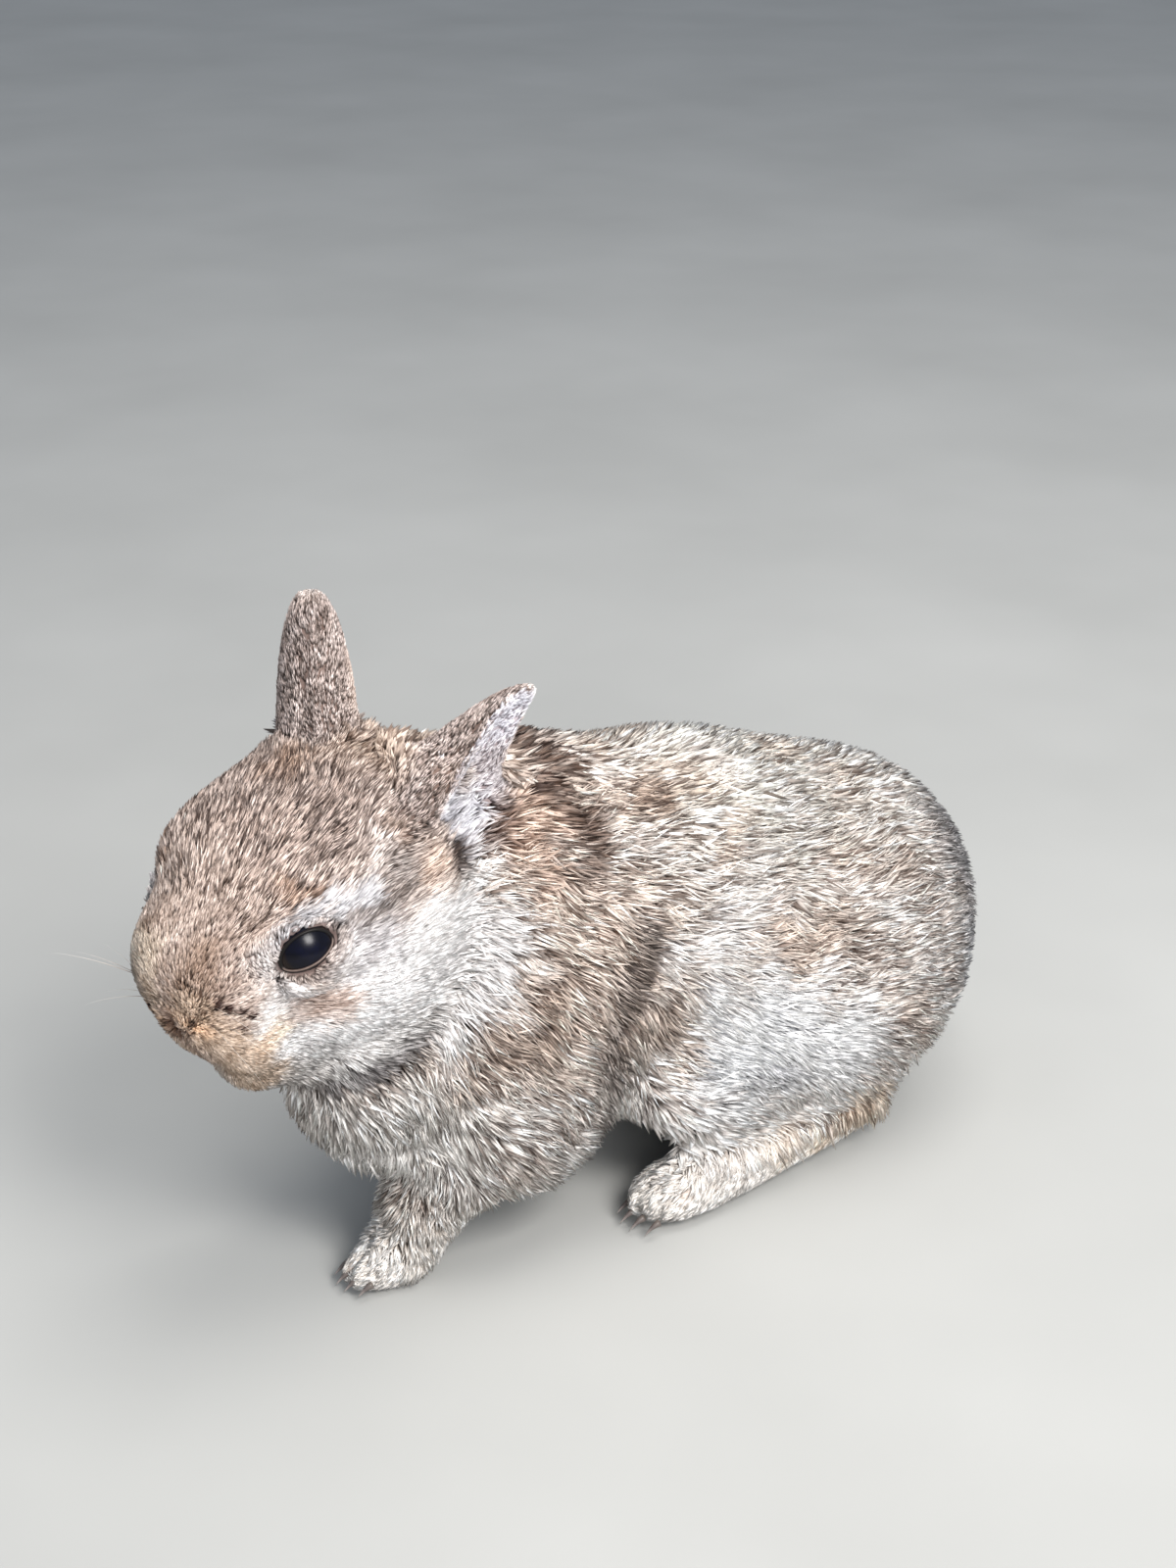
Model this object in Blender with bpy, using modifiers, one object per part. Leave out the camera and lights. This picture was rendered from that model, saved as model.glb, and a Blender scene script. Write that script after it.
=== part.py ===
"""A young rabbit sitting on the ground, life size, as a still model parted where a person would name its parts.

The rabbit faces -X, its left side is -Y and up is +Z. The floor is z = 0. Lengths are written in millimetres
and multiplied by MM. The body is one smooth field of rounded forms. Its surface is taken as a mesh, clipped at
the floor and parted with thin cuts. The ears are curved sheets, and the eyes sit in sockets.
"""

import math

import bmesh
import bpy
import numpy as np
from mathutils import Euler, Matrix, Vector

MM = 0.001
DEG = math.pi / 180

# Driving dimensions, in millimetres and degrees.
HEAD_CENTRE = (-55.6, -1.0, 84.0)
HEAD_PITCH = 16.0
HEAD_YAW = 18.0
EYE_RADIUS = 6.6
EYE_PLACE = (-21.2, 13.4, 3.0)
EAR_DEPTH = 25.0
EAR_WALL = 2.6
RIGHT_STEP = 27.0
# Each ear in the head's frame: where it grows, where its tip points and which way it opens, its length and width,
# and how far it lies back (0 standing, 1 with its root pressed against the neck).
EARS = {
    "ear_left": ((10.2, -18.6, 4.2), (0.74, -0.10, 0.68), (0.3, -0.9, -0.35), 36, 17.0, 1.0),
    "ear_right": ((13.9, 9.2, 13.7), (0.14, 0.28, 0.97), (0.44, 0.76, -0.4), 32, 13.4, 0.0),
}

# Clearance of ears and eyes from the body, the width of a cut, and how finely the body is drawn.
GAP = 0.3
CUT_THICKNESS = 0.4
VOXEL = 2.0
BODY_TRIANGLES = 2500
FLOOR_SNAP = 0.12

# Colour and roughness.
COAT_FINISH = ((0.42, 0.34, 0.27), 0.9)
EAR_FINISH = ((0.38, 0.30, 0.25), 0.85)
EYE_FINISH = ((0.012, 0.010, 0.010), 0.08)


def head_matrix():
    """Carries the head's own frame (nose towards -X, millimetres) to the body's frame."""
    turn = Euler((0, -HEAD_PITCH * DEG, HEAD_YAW * DEG), "XYZ").to_matrix()
    return Matrix.Translation(HEAD_CENTRE) @ turn.to_4x4()


class Blob:
    """An ellipsoid, with a radius along each of its own axes."""

    def __init__(self, centre, radii, turn=(0, 0, 0), blend=8.0, frame=None):
        place = Matrix.Translation(centre) @ Euler([a * DEG for a in turn], "XYZ").to_matrix().to_4x4()
        self.matrix = (frame or Matrix.Identity(4)) @ place
        self.radii = np.array(radii, float)
        self.blend = blend

    def distance(self, points):
        inverse = np.array(self.matrix.inverted())
        local = points @ inverse[:3, :3].T + inverse[:3, 3]
        near = np.linalg.norm(local / self.radii, axis=1)
        slope = np.linalg.norm(local / self.radii**2, axis=1)
        return near * (near - 1.0) / np.maximum(slope, 1e-9)

    def add_to(self, mesh):
        scale = Matrix.Diagonal((*self.radii, 1.0))
        bmesh.ops.create_uvsphere(mesh, u_segments=24, v_segments=14, radius=1.0, matrix=self.matrix @ scale)


class Limb:
    """A round rod whose radius changes evenly from one end to the other."""

    def __init__(self, start, end, radii, blend=6.0, frame=None):
        frame = frame or Matrix.Identity(4)
        self.start = np.array(frame @ Vector(start))
        self.end = np.array(frame @ Vector(end))
        self.radii = radii
        self.blend = blend

    def distance(self, points):
        along = self.end - self.start
        share = np.clip((points - self.start) @ along / (along @ along), 0.0, 1.0)
        radius = self.radii[0] + (self.radii[1] - self.radii[0]) * share
        return np.linalg.norm(points - self.start - share[:, None] * along, axis=1) - radius

    def add_to(self, mesh):
        along = Vector(self.end - self.start)
        middle = (Vector(self.start) + Vector(self.end)) / 2
        turn = along.to_track_quat("Z", "Y").to_matrix().to_4x4()
        bmesh.ops.create_cone(
            mesh, cap_ends=True, segments=20, radius1=self.radii[0], radius2=self.radii[1],
            depth=along.length, matrix=Matrix.Translation(middle) @ turn,
        )
        for end, radius in ((self.start, self.radii[0]), (self.end, self.radii[1])):
            bmesh.ops.create_uvsphere(
                mesh, u_segments=20, v_segments=12, radius=radius, matrix=Matrix.Translation(end)
            )


def trunk_forms():
    return [
        Blob((57, 0, 39.5), (36.5, 34, 35.5), blend=14),
        Blob((18, 0, 50), (46, 34, 39), turn=(0, 6, 0), blend=14),
        Blob((-15, 0, 57), (34, 28, 39.5), blend=12),
        Blob((-32, -1, 76), (26, 21, 23), blend=12),
        Blob((-49, -4, 45), (18, 19, 23), blend=10),
        Blob((91, 0, 26), (9, 7, 10), blend=5),
    ]


def step_back(side):
    """How much further back the fore leg of this side stands."""
    return RIGHT_STEP if side > 0 else 0.0


def leg_forms(side):
    step = step_back(side)
    return [
        # shoulder and upper arm, elbow, forearm, wrist, fore paw
        Blob((-26, side * 18, 42), (18, 12, 25), turn=(0, -8, 0), blend=8),
        Blob((-24 + 0.5 * step, side * 17, 25), (12, 9.5, 13.5), blend=8),
        Limb((-32 + 0.6 * step, side * 15, 30), (-46 + step, side * 13, 13), (13, 7.5), blend=7),
        Limb((-46 + step, side * 13, 13), (-48 + step, side * 12.5, 6), (7.5, 6.2), blend=4),
        Blob((-53 + step, side * 12.5, 4.0), (9, 6.3, 5.0), blend=3),
        # thigh, knee, hock, hind foot
        Blob((44, side * 23, 37.5), (34, 15, 30), turn=(0, 24, 0), blend=6),
        Blob((13, side * 24, 27.5), (17.5, 11, 14.5), turn=(0, 35, 0), blend=6),
        Limb((50, side * 22.5, 9), (16, side * 26, 6.6), (8.5, 7.6), blend=4),
        Blob((6, side * 26, 5.2), (12, 8.0, 6.0), blend=4),
    ]


def head_forms():
    head = head_matrix()
    forms = [
        Blob((2, 0, 1), (25, 22, 22), blend=10, frame=head),
        Blob((-10, 0, 7), (19, 17.5, 16), blend=8, frame=head),
        Blob((-14, 0, 2), (20, 18, 17), blend=8, frame=head),
        Blob((-27, 0, -2.5), (14, 12.8, 13.8), blend=8, frame=head),
        Blob((-8, 0, -17), (19, 15, 13), turn=(0, 8, 0), blend=8, frame=head),
        Blob((-22.5, 0, -22.5), (11, 8.5, 8), blend=6, frame=head),
        # root of the ear that is laid back
        Blob((9.6, -17.0, 7.1), (7.5, 6.5, 14.0), turn=(-32, 25, 0), blend=2.5, frame=head),
    ]
    for side in (-1, 1):
        forms += [
            Blob((-4, side * 11, -11), (19, 12, 15), blend=8, frame=head),
            Blob((-30, side * 5.2, 3.5), (10.5, 8, 8), blend=6, frame=head),
            Blob((-28.5, side * 5.2, -12.5), (8.5, 7, 8), blend=4, frame=head),
            Blob((-12, side * 11.8, 11.5), (10, 5, 4.5), turn=(0, 10, -side * 14), blend=7, frame=head),
        ]
    return forms


def body_forms():
    forms = trunk_forms()
    for side in (-1, 1):
        forms += leg_forms(side)
    return forms + head_forms()


def field(points, forms):
    """Distance to the smooth union: each form joins the rest with a fillet of its own blend."""
    total = forms[0].distance(points)
    for form in forms[1:]:
        other = form.distance(points)
        share = np.clip(0.5 + 0.5 * (total - other) / form.blend, 0.0, 1.0)
        total = total * (1 - share) + other * share - form.blend * share * (1 - share)
    return total


def slope_of(points, forms, step=0.05):
    """Gradient of the field by central differences."""
    parts = []
    for axis in np.eye(3) * step:
        parts.append((field(points + axis, forms) - field(points - axis, forms)) / (2 * step))
    return np.stack(parts, axis=1)


def new_object(name, mesh, collection):
    made = bpy.data.objects.new(name, mesh)
    collection.objects.link(made)
    return made


def applied(obj, *modifiers):
    """The object's mesh with these modifiers applied. Each is (type, settings)."""
    for kind, settings in modifiers:
        modifier = obj.modifiers.new(kind.title(), kind)
        for key, value in settings.items():
            setattr(modifier, key, value)
    bpy.context.view_layer.update()
    graph = bpy.context.evaluated_depsgraph_get()
    mesh = bpy.data.meshes.new_from_object(obj.evaluated_get(graph))
    obj.modifiers.clear()
    obj.data = mesh
    return obj


def drawn_onto(mesh, forms, rounds=6):
    """Moves every vertex on to the field's surface by Newton steps."""
    points = points_of(mesh)
    for _ in range(rounds):
        slope = slope_of(points, forms)
        reach = field(points, forms) / np.maximum((slope**2).sum(axis=1), 0.05)
        points -= np.clip(reach, -1.5, 1.5)[:, None] * slope
    place_points(mesh, points)


def points_of(mesh):
    """Vertex positions of a mesh, in millimetres."""
    points = np.empty(len(mesh.vertices) * 3, np.float32)
    mesh.vertices.foreach_get("co", points)
    return points.reshape(-1, 3).astype(float) / MM


def place_points(mesh, points):
    mesh.vertices.foreach_set("co", (points * MM).astype(np.float32).ravel())
    mesh.update()


def set_on_floor(mesh, snap):
    """Presses whatever lies below the floor, or within snap of it, flat on to z = 0."""
    points = points_of(mesh)
    points[:, 2] = np.where(points[:, 2] < snap, 0.0, points[:, 2])
    place_points(mesh, points)


def thinned(obj, triangles):
    """Fewer faces: flat stretches give up more than the tightly curved head and feet."""
    faces = sum(len(f.vertices) - 2 for f in obj.data.polygons)
    applied(obj, ("DECIMATE", {"ratio": triangles / faces, "use_collapse_triangulate": True}))


def whole_body(collection):
    forms = body_forms()
    rough = bmesh.new()
    for form in forms:
        form.add_to(rough)
    bmesh.ops.scale(rough, vec=(MM, MM, MM), verts=rough.verts)
    mesh = bpy.data.meshes.new("body")
    rough.to_mesh(mesh)
    rough.free()
    body = new_object("body", mesh, collection)
    applied(body, ("REMESH", {"mode": "VOXEL", "voxel_size": VOXEL * MM}))
    drawn_onto(body.data, forms)
    applied(body, ("SMOOTH", {"factor": 0.5, "iterations": 2}))
    drawn_onto(body.data, forms, rounds=3)
    set_on_floor(body.data, 0.0)
    thinned(body, BODY_TRIANGLES)
    set_on_floor(body.data, FLOOR_SNAP)
    return body


class Shell:
    """A thin closed skin round a capsule with an elliptic section. It parts what lies inside from the rest."""

    def __init__(self, name, centre, radii, turn=(0, 0, 0), length=0.0, frame=None):
        place = Matrix.Translation(centre) @ Euler([a * DEG for a in turn], "XYZ").to_matrix().to_4x4()
        self.matrix = (frame or Matrix.Identity(4)) @ place
        self.name = name
        self.radii = Vector(radii)
        self.length = length

    def holds(self, points):
        inverse = np.array(self.matrix.inverted())
        local = points @ inverse[:3, :3].T + inverse[:3, 3]
        local[:, 0] -= np.clip(local[:, 0], -self.length / 2, self.length / 2)
        return (np.linalg.norm(local / np.array(self.radii), axis=1) < 1).mean() > 0.5

    def made(self, collection, thickness=CUT_THICKNESS):
        mesh = bmesh.new()
        coarse = thickness and max(self.radii) < 12.6
        bmesh.ops.create_icosphere(mesh, subdivisions=2 if coarse else 3, radius=1.0)
        for vertex in mesh.verts:
            co = Vector([a * b for a, b in zip(vertex.co, self.radii)])
            co.x += np.sign(round(vertex.co.x, 4)) * self.length / 2
            vertex.co = self.matrix @ co * MM
        data = bpy.data.meshes.new(self.name + "_cutter")
        mesh.to_mesh(data)
        mesh.free()
        cutter = new_object(self.name + "_cutter", data, collection)
        if thickness:
            applied(cutter, ("SOLIDIFY", {"thickness": thickness * MM, "offset": 0.0, "use_even_offset": True}))
        cutter.hide_render = True
        cutter.display_type = "WIRE"
        return cutter


def cut_by(obj, cutter):
    applied(obj, ("BOOLEAN", {"operation": "DIFFERENCE", "solver": "EXACT", "object": cutter}))


def loose_parts(obj):
    """The separate bodies of a mesh, each as its own mesh, the largest first."""
    whole = bmesh.new()
    whole.from_mesh(obj.data)
    seen, groups = set(), []
    for start in whole.verts:
        if start in seen:
            continue
        stack, group = [start], set()
        seen.add(start)
        while stack:
            vertex = stack.pop()
            group.add(vertex.index)
            for edge in vertex.link_edges:
                other = edge.other_vert(vertex)
                if other not in seen:
                    seen.add(other)
                    stack.append(other)
        groups.append(group)
    whole.free()
    meshes = []
    for group in sorted(groups, key=len, reverse=True):
        piece = bmesh.new()
        piece.from_mesh(obj.data)
        bmesh.ops.delete(piece, geom=[v for v in piece.verts if v.index not in group], context="VERTS")
        mesh = bpy.data.meshes.new(obj.name)
        piece.to_mesh(mesh)
        piece.free()
        meshes.append(mesh)
    return meshes


def part_off(body, shell, collection, cutters):
    """Cuts the body with the shell and makes its own object of what lies inside."""
    cut_by(body, shell.made(cutters))
    kept, inside = [], []
    for mesh in loose_parts(body):
        (inside if shell.holds(points_of(mesh)) else kept).append(mesh)
    body.data = kept[0]
    inside[0].name = shell.name
    return new_object(shell.name, inside[0], collection)


def ear_matrix(base, axis, opening):
    """Carries the ear's frame (Z from base to tip, Y out of its opening) to the body's frame."""
    up = Vector(axis).normalized()
    out = Vector(opening)
    out = (out - up * out.dot(up)).normalized()
    turn = Matrix((out.cross(up), out, up)).transposed().to_4x4()
    return Matrix.Translation(head_matrix() @ Vector(base)) @ turn


def ear_sheet(rise, across, length, width, laid):
    """An ear rolled into a cup: elliptic sections of half-widths w and d that close towards the tip."""
    taper = (1.0 - np.clip((rise - 0.12) / 0.88, 0.0, 1.0) ** 2.6) ** 0.5 * (1.0 - 0.14 * rise)
    angle = across * (2.4 - (0.7 + 0.7 * laid) * rise)
    # the root is wider, and in an ear laid back its lower edge is drawn in towards the neck
    flare = 1.0 + (0.5 + 0.4 * laid) * np.clip(0.3 * (1.0 + laid) - rise, 0.0, 1.0)
    drawn = 1.0 + 0.9 * np.clip(0.5 - rise, 0.0, 1.0) - 5.0 * laid * np.clip(0.32 - rise, 0.0, 1.0)
    back = EAR_DEPTH / 2 * (0.2 + 0.1 * rise)
    pressed = laid * (1.0 - rise) ** 2
    aside = width / 2 * taper * flare * np.sin(angle)
    deep = back * taper - EAR_DEPTH / 2 * taper * drawn * np.cos(angle) - back - 4.8 * pressed
    return np.stack([aside, deep, length * (1.1 * rise - 0.24) - 1.5 * pressed], axis=-1)


def ear(name, base, axis, opening, length, width, laid, collection):
    rows, columns = 12, 9
    mesh = bmesh.new()
    bmesh.ops.create_grid(mesh, x_segments=columns - 1, y_segments=rows - 1, size=1.0)
    points = np.array([v.co for v in mesh.verts])
    placed = ear_sheet(np.sin((points[:, 1] + 1.0) * np.pi / 4) * 0.995, points[:, 0], length, width, laid)
    matrix = Matrix.Scale(MM, 4) @ ear_matrix(base, axis, opening)
    for vertex, place in zip(mesh.verts, placed):
        vertex.co = matrix @ Vector(place)
    bmesh.ops.recalc_face_normals(mesh, faces=mesh.faces)
    data = bpy.data.meshes.new(name)
    mesh.to_mesh(data)
    mesh.free()
    made = new_object(name, data, collection)
    applied(made, ("SOLIDIFY", {"thickness": EAR_WALL * MM, "offset": 0.0, "use_even_offset": True}))
    return made


def eye_centre(side):
    return head_matrix() @ Vector((EYE_PLACE[0], side * EYE_PLACE[1], EYE_PLACE[2]))


def eye(name, side, collection):
    mesh = bmesh.new()
    bmesh.ops.create_uvsphere(
        mesh,
        u_segments=14,
        v_segments=8,
        radius=EYE_RADIUS * MM,
        matrix=Matrix.Translation(eye_centre(side) * MM),
    )
    data = bpy.data.meshes.new(name)
    mesh.to_mesh(data)
    mesh.free()
    return new_object(name, data, collection)


def leg_shells(side, name):
    step = step_back(side)
    return [
        Shell("fore_paw_" + name, (-55 + step, side * 12.5, 1.5), (10.5, 9.5, 9.0)),
        Shell("fore_leg_" + name, (-45 + step, side * 13, 15), (17, 12.5, 17)),
        Shell("hind_foot_" + name, (24, side * 25.5, 2), (13, 13.5, 12.5), length=46),
        Shell("hind_leg_" + name, (37, side * 29, 30), (46, 16.5, 36)),
    ]


def shells():
    found = [
        Shell("head", (-12, 0, -2), (33, 33, 33), frame=head_matrix()),
        Shell("tail", (95, 0, 26), (11, 12, 13)),
    ]
    for side, name in ((-1, "left"), (1, "right")):
        found += leg_shells(side, name)
    return found + [Shell("neck", (-64, -3, 88), (46, 46, 46))]


def finish(obj, colour, roughness):
    """Gives the object its own finish, smooth shading and an origin at its middle."""
    material = bpy.data.materials.new(obj.name)
    material.use_nodes = True
    shader = material.node_tree.nodes["Principled BSDF"]
    shader.inputs["Base Color"].default_value = (*colour, 1.0)
    shader.inputs["Roughness"].default_value = roughness
    obj.data.materials.clear()
    obj.data.materials.append(material)
    obj.data.shade_smooth()
    points = points_of(obj.data)
    middle = (points.min(axis=0) + points.max(axis=0)) / 2
    place_points(obj.data, points - middle)
    obj.location = Vector(middle) * MM


def stand_centred(objects):
    """Moves the whole animal so that the middle of its length and width is over the origin."""
    spots = [np.array(obj.location) / MM + points_of(obj.data) for obj in objects]
    spots = np.concatenate(spots)
    middle = (spots.min(axis=0) + spots.max(axis=0)) / 2
    for obj in objects:
        obj.location.x -= middle[0] * MM
        obj.location.y -= middle[1] * MM


def clear_scene():
    for obj in list(bpy.data.objects):
        bpy.data.objects.remove(obj)


def main():
    clear_scene()
    rabbit = bpy.data.collections.new("rabbit")
    cutters = bpy.data.collections.new("cutters")
    bpy.context.scene.collection.children.link(rabbit)
    bpy.context.scene.collection.children.link(cutters)
    body = whole_body(rabbit)

    swollen = new_object("swollen", body.data.copy(), cutters)
    applied(swollen, ("DISPLACE", {"strength": GAP * MM, "mid_level": 0.0}))
    swollen.hide_render = True
    swollen.display_type = "WIRE"
    ears = [ear(name, *place, rabbit) for name, place in EARS.items()]
    for each in ears:
        cut_by(each, swollen)
        each.data = loose_parts(each)[0]

    eyes = []
    for side, name in ((-1, "left"), (1, "right")):
        eyes.append(eye("eye_" + name, side, rabbit))
        socket = Shell("socket_" + name, eye_centre(side), [EYE_RADIUS + 2 * GAP] * 3)
        cut_by(body, socket.made(cutters, thickness=0))

    flesh = [part_off(body, shell, rabbit, cutters) for shell in shells()]
    body.name = "trunk"
    for group, look in (([body, *flesh], COAT_FINISH), (ears, EAR_FINISH), (eyes, EYE_FINISH)):
        for obj in group:
            finish(obj, *look)
    stand_centred(list(rabbit.objects))


main()
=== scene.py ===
# %% [markdown]
# # A young rabbit, life size
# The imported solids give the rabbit's true outline, coat included. This lesson dresses them: one seamless skin
# goes inside the solids, eyes and lids are set in the head, and some 350,000 strands of fur grow from the skin
# in tufts and lie along the body as a real coat does.

import bpy
import numpy as np
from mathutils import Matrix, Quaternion, Vector


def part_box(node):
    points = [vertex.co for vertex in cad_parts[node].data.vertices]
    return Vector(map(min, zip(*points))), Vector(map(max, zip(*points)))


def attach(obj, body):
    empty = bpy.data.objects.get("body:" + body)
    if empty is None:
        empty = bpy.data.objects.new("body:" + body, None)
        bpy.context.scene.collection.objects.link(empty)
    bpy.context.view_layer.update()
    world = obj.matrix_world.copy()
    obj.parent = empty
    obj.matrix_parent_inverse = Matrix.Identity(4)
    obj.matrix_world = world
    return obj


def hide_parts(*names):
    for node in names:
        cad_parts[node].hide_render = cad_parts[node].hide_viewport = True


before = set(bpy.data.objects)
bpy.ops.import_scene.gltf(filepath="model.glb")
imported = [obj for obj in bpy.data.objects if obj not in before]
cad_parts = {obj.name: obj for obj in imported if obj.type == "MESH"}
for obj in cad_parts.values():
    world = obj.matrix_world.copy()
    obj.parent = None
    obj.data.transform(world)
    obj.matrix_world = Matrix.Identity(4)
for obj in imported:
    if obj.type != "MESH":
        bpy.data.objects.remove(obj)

MM = 0.001
rng = np.random.default_rng(20)
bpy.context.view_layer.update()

# %% [markdown]
# ## Camera, light and floor
# The rabbit is seen from its left front and from above, at arm's length. A cloudy sky is a soft light from
# everywhere, so the world gives a pale blue fill, one large panel overhead and one at the near side give the
# bright back and flank, and a weaker panel in front keeps the face open.

# %% Camera
AZIMUTH, ELEVATION = np.radians((-35.0, 29.0))
DISTANCE = 0.5
SWING, TILT = np.radians((-0.22, 4.07))
away = Vector((
    np.sin(AZIMUTH) * np.cos(ELEVATION), -np.cos(AZIMUTH) * np.cos(ELEVATION), np.sin(ELEVATION)
))
camera = bpy.data.objects.new("camera", bpy.data.cameras.new("camera"))
bpy.context.collection.objects.link(camera)
camera.location = Vector((-1.9 * MM, 0, 45 * MM)) + away * DISTANCE
look = (-away).to_track_quat("-Z", "Y") @ Quaternion((0, 1, 0), SWING) @ Quaternion((1, 0, 0), TILT)
camera.rotation_euler = look.to_euler()
camera.data.sensor_width = 24
camera.data.lens = 39
camera.data.clip_start = 0.01
bpy.context.scene.camera = camera
print("camera, mm:", [round(c / MM) for c in camera.location])

# %% Soft light
world = bpy.data.worlds.new("cloudy sky")
world.use_nodes = True
world.node_tree.nodes["Background"].inputs["Color"].default_value = (0.80, 0.88, 1.0, 1)
world.node_tree.nodes["Background"].inputs["Strength"].default_value = 0.55
bpy.context.scene.world = world
bpy.context.scene.view_settings.view_transform = "Standard"
PANELS = {
    # place and aim in metres, side in metres, watts, colour, and whether glossy surfaces mirror it
    "overhead": ((0.10, -0.15, 0.95), (0, 0, 0.05), 0.6, 6.5, (1.0, 0.97, 0.93), False),
    "side": ((-0.03, -0.78, 0.80), (0, -0.02, 0.05), 0.4, 13, (1.0, 0.975, 0.945), True),
    "front": ((-0.35, -0.95, 0.30), (-0.01, 0, 0.05), 0.6, 8, (0.97, 0.98, 1.0), False),
}
for name, (place, aim, size, power, colour, glossy) in PANELS.items():
    light = bpy.data.lights.new(name, "AREA")
    light.shape = "SQUARE"
    light.size = size
    light.energy = power
    light.color = colour
    panel = bpy.data.objects.new(name, light)
    panel.location = place
    panel.rotation_euler = (Vector(aim) - Vector(place)).to_track_quat("-Z", "Y").to_euler()
    panel.visible_glossy = glossy
    bpy.context.collection.objects.link(panel)
print("light panels:", list(PANELS))

# %% [markdown]
# ## Building meshes and finishes
# Every shape below is worked out as whole arrays of points in millimetres and handed to Blender in one go.
# A few small helpers make the mesh and the node material, so that each later cell holds only its own shape.

# %% Mesh helpers
def new_mesh(name, points, faces):
    """A smooth mesh from points in millimetres and an array of triangles or quads."""
    mesh = bpy.data.meshes.new(name)
    count, corners = faces.shape
    mesh.vertices.add(len(points))
    mesh.vertices.foreach_set("co", (np.asarray(points) * MM).astype(np.float32).ravel())
    mesh.loops.add(count * corners)
    mesh.loops.foreach_set("vertex_index", faces.astype(np.int32).ravel())
    mesh.polygons.add(count)
    mesh.polygons.foreach_set("loop_start", np.arange(0, count * corners, corners, dtype=np.int32))
    mesh.polygons.foreach_set("use_smooth", np.ones(count, bool))
    mesh.update(calc_edges=True)
    return mesh


def new_object(name, mesh):
    """The mesh as an object at the origin."""
    made = bpy.data.objects.new(name, mesh)
    bpy.context.collection.objects.link(made)
    return made


def mesh_arrays(mesh):
    """The points of a mesh in millimetres, and its triangles."""
    points = np.empty(len(mesh.vertices) * 3, np.float32)
    mesh.vertices.foreach_get("co", points)
    mesh.calc_loop_triangles()
    corners = np.empty(len(mesh.loop_triangles) * 3, np.int32)
    mesh.loop_triangles.foreach_get("vertices", corners)
    return points.reshape(-1, 3).astype(float) / MM, corners.reshape(-1, 3)


def paint(mesh, name, values):
    """Stores one number or one colour for each point of the mesh."""
    kind, field = "FLOAT", "value"
    if values.ndim == 2:
        kind, field, values = "FLOAT_COLOR", "color", np.c_[values, np.ones(len(values))]
    mesh.attributes.new(name, kind, "POINT").data.foreach_set(field, values.astype(np.float32).ravel())


def add_piece(name, points, faces, material, slot, **painted):
    """A finished piece of the rabbit, with its stored values, on the one body of a still model."""
    made = new_object(name, new_mesh(name, points, faces))
    for key, values in painted.items():
        paint(made.data, key, values)
    made.data.materials.append(material)
    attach(made, "root")
    print(name, len(faces), "triangles")
    return made


# %% Faces between rings of points
def ring_faces(rows, columns, wrap_rows=False):
    """Quads between neighbouring points of a grid whose columns run round, cut into triangles."""
    r = np.arange(rows if wrap_rows else rows - 1)[:, None]
    c = np.arange(columns)[None, :]
    r2, c2 = (r + 1) % rows, (c + 1) % columns
    ends = (r * columns + c, r * columns + c2, r2 * columns + c2, r2 * columns + c)
    quads = np.stack(np.broadcast_arrays(*ends), -1).reshape(-1, 4)
    return np.concatenate([quads[:, [0, 1, 2]], quads[:, [0, 2, 3]]])


def capped_faces(rings, spokes):
    """Ring faces closed at both ends, by a point after the grid for the first ring and one for the last."""
    first = np.arange(spokes)
    after = (first + 1) % spokes
    last = (rings - 1) * spokes
    start = np.c_[after, first, np.full(spokes, rings * spokes)]
    end = np.c_[last + first, last + after, np.full(spokes, rings * spokes + 1)]
    return np.concatenate([ring_faces(rings, spokes), start, end])


def facing_out(points, faces):
    """Turns the faces round if the shape's volume, the sum of a·(b × c)/6, is negative."""
    a, b, c = (points[faces[:, k]] - points.mean(0) for k in range(3))
    return faces if (a * np.cross(b, c)).sum() > 0 else faces[:, ::-1]


# %% Number helpers
def unit(vectors):
    """Each vector over its own length."""
    return vectors / np.maximum(np.linalg.norm(vectors, axis=-1, keepdims=True), 1e-9)


def ease(start, end, value):
    """0 before start, 1 after end, and 3t² - 2t³ between."""
    t = np.clip((value - start) / (end - start), 0, 1)
    return t * t * (3 - 2 * t)


def over(under, share, colour):
    """A colour laid over another one, as far as the share goes."""
    return under * (1 - share) + share * np.asarray(colour)


def linear(colour):
    """Screen colour, 0 to 1, as the light that it stands for."""
    return np.clip(np.asarray(colour, float), 0, 1) ** 2.2


# %% Material helpers
def finish(name, roughness, specular):
    """A new node material: returns it with its node tree and its shader."""
    material = bpy.data.materials.new(name)
    material.use_nodes = True
    shader = material.node_tree.nodes["Principled BSDF"]
    shader.inputs["Roughness"].default_value = roughness
    shader.inputs["Specular IOR Level"].default_value = specular
    return material, material.node_tree, shader


def add(tree, kind, **settings):
    """A new shader node of this kind, with its settings."""
    node = tree.nodes.new("ShaderNode" + kind)
    for key, value in settings.items():
        setattr(node, key, value)
    return node


def stored(tree, name, output="Fac"):
    """The values that were painted on the mesh under this name."""
    return add(tree, "Attribute", attribute_name=name).outputs[output]


def noise(tree, scale, detail):
    """Noise on the object's own coordinates."""
    node = add(tree, "TexNoise")
    node.inputs["Scale"].default_value = scale
    node.inputs["Detail"].default_value = detail
    tree.links.new(add(tree, "TexCoord").outputs["Object"], node.inputs["Vector"])
    return node.outputs[0]


def blend_nodes(tree, mode, factor, a, b):
    """A colour Mix node. Each input is a socket or a value."""
    node = add(tree, "Mix", data_type="RGBA", blend_type=mode)
    for socket, value in ((node.inputs[0], factor), (node.inputs[6], a), (node.inputs[7], b)):
        if isinstance(value, bpy.types.NodeSocket):
            tree.links.new(value, socket)
        else:
            socket.default_value = value
    return node.outputs[2]


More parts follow.
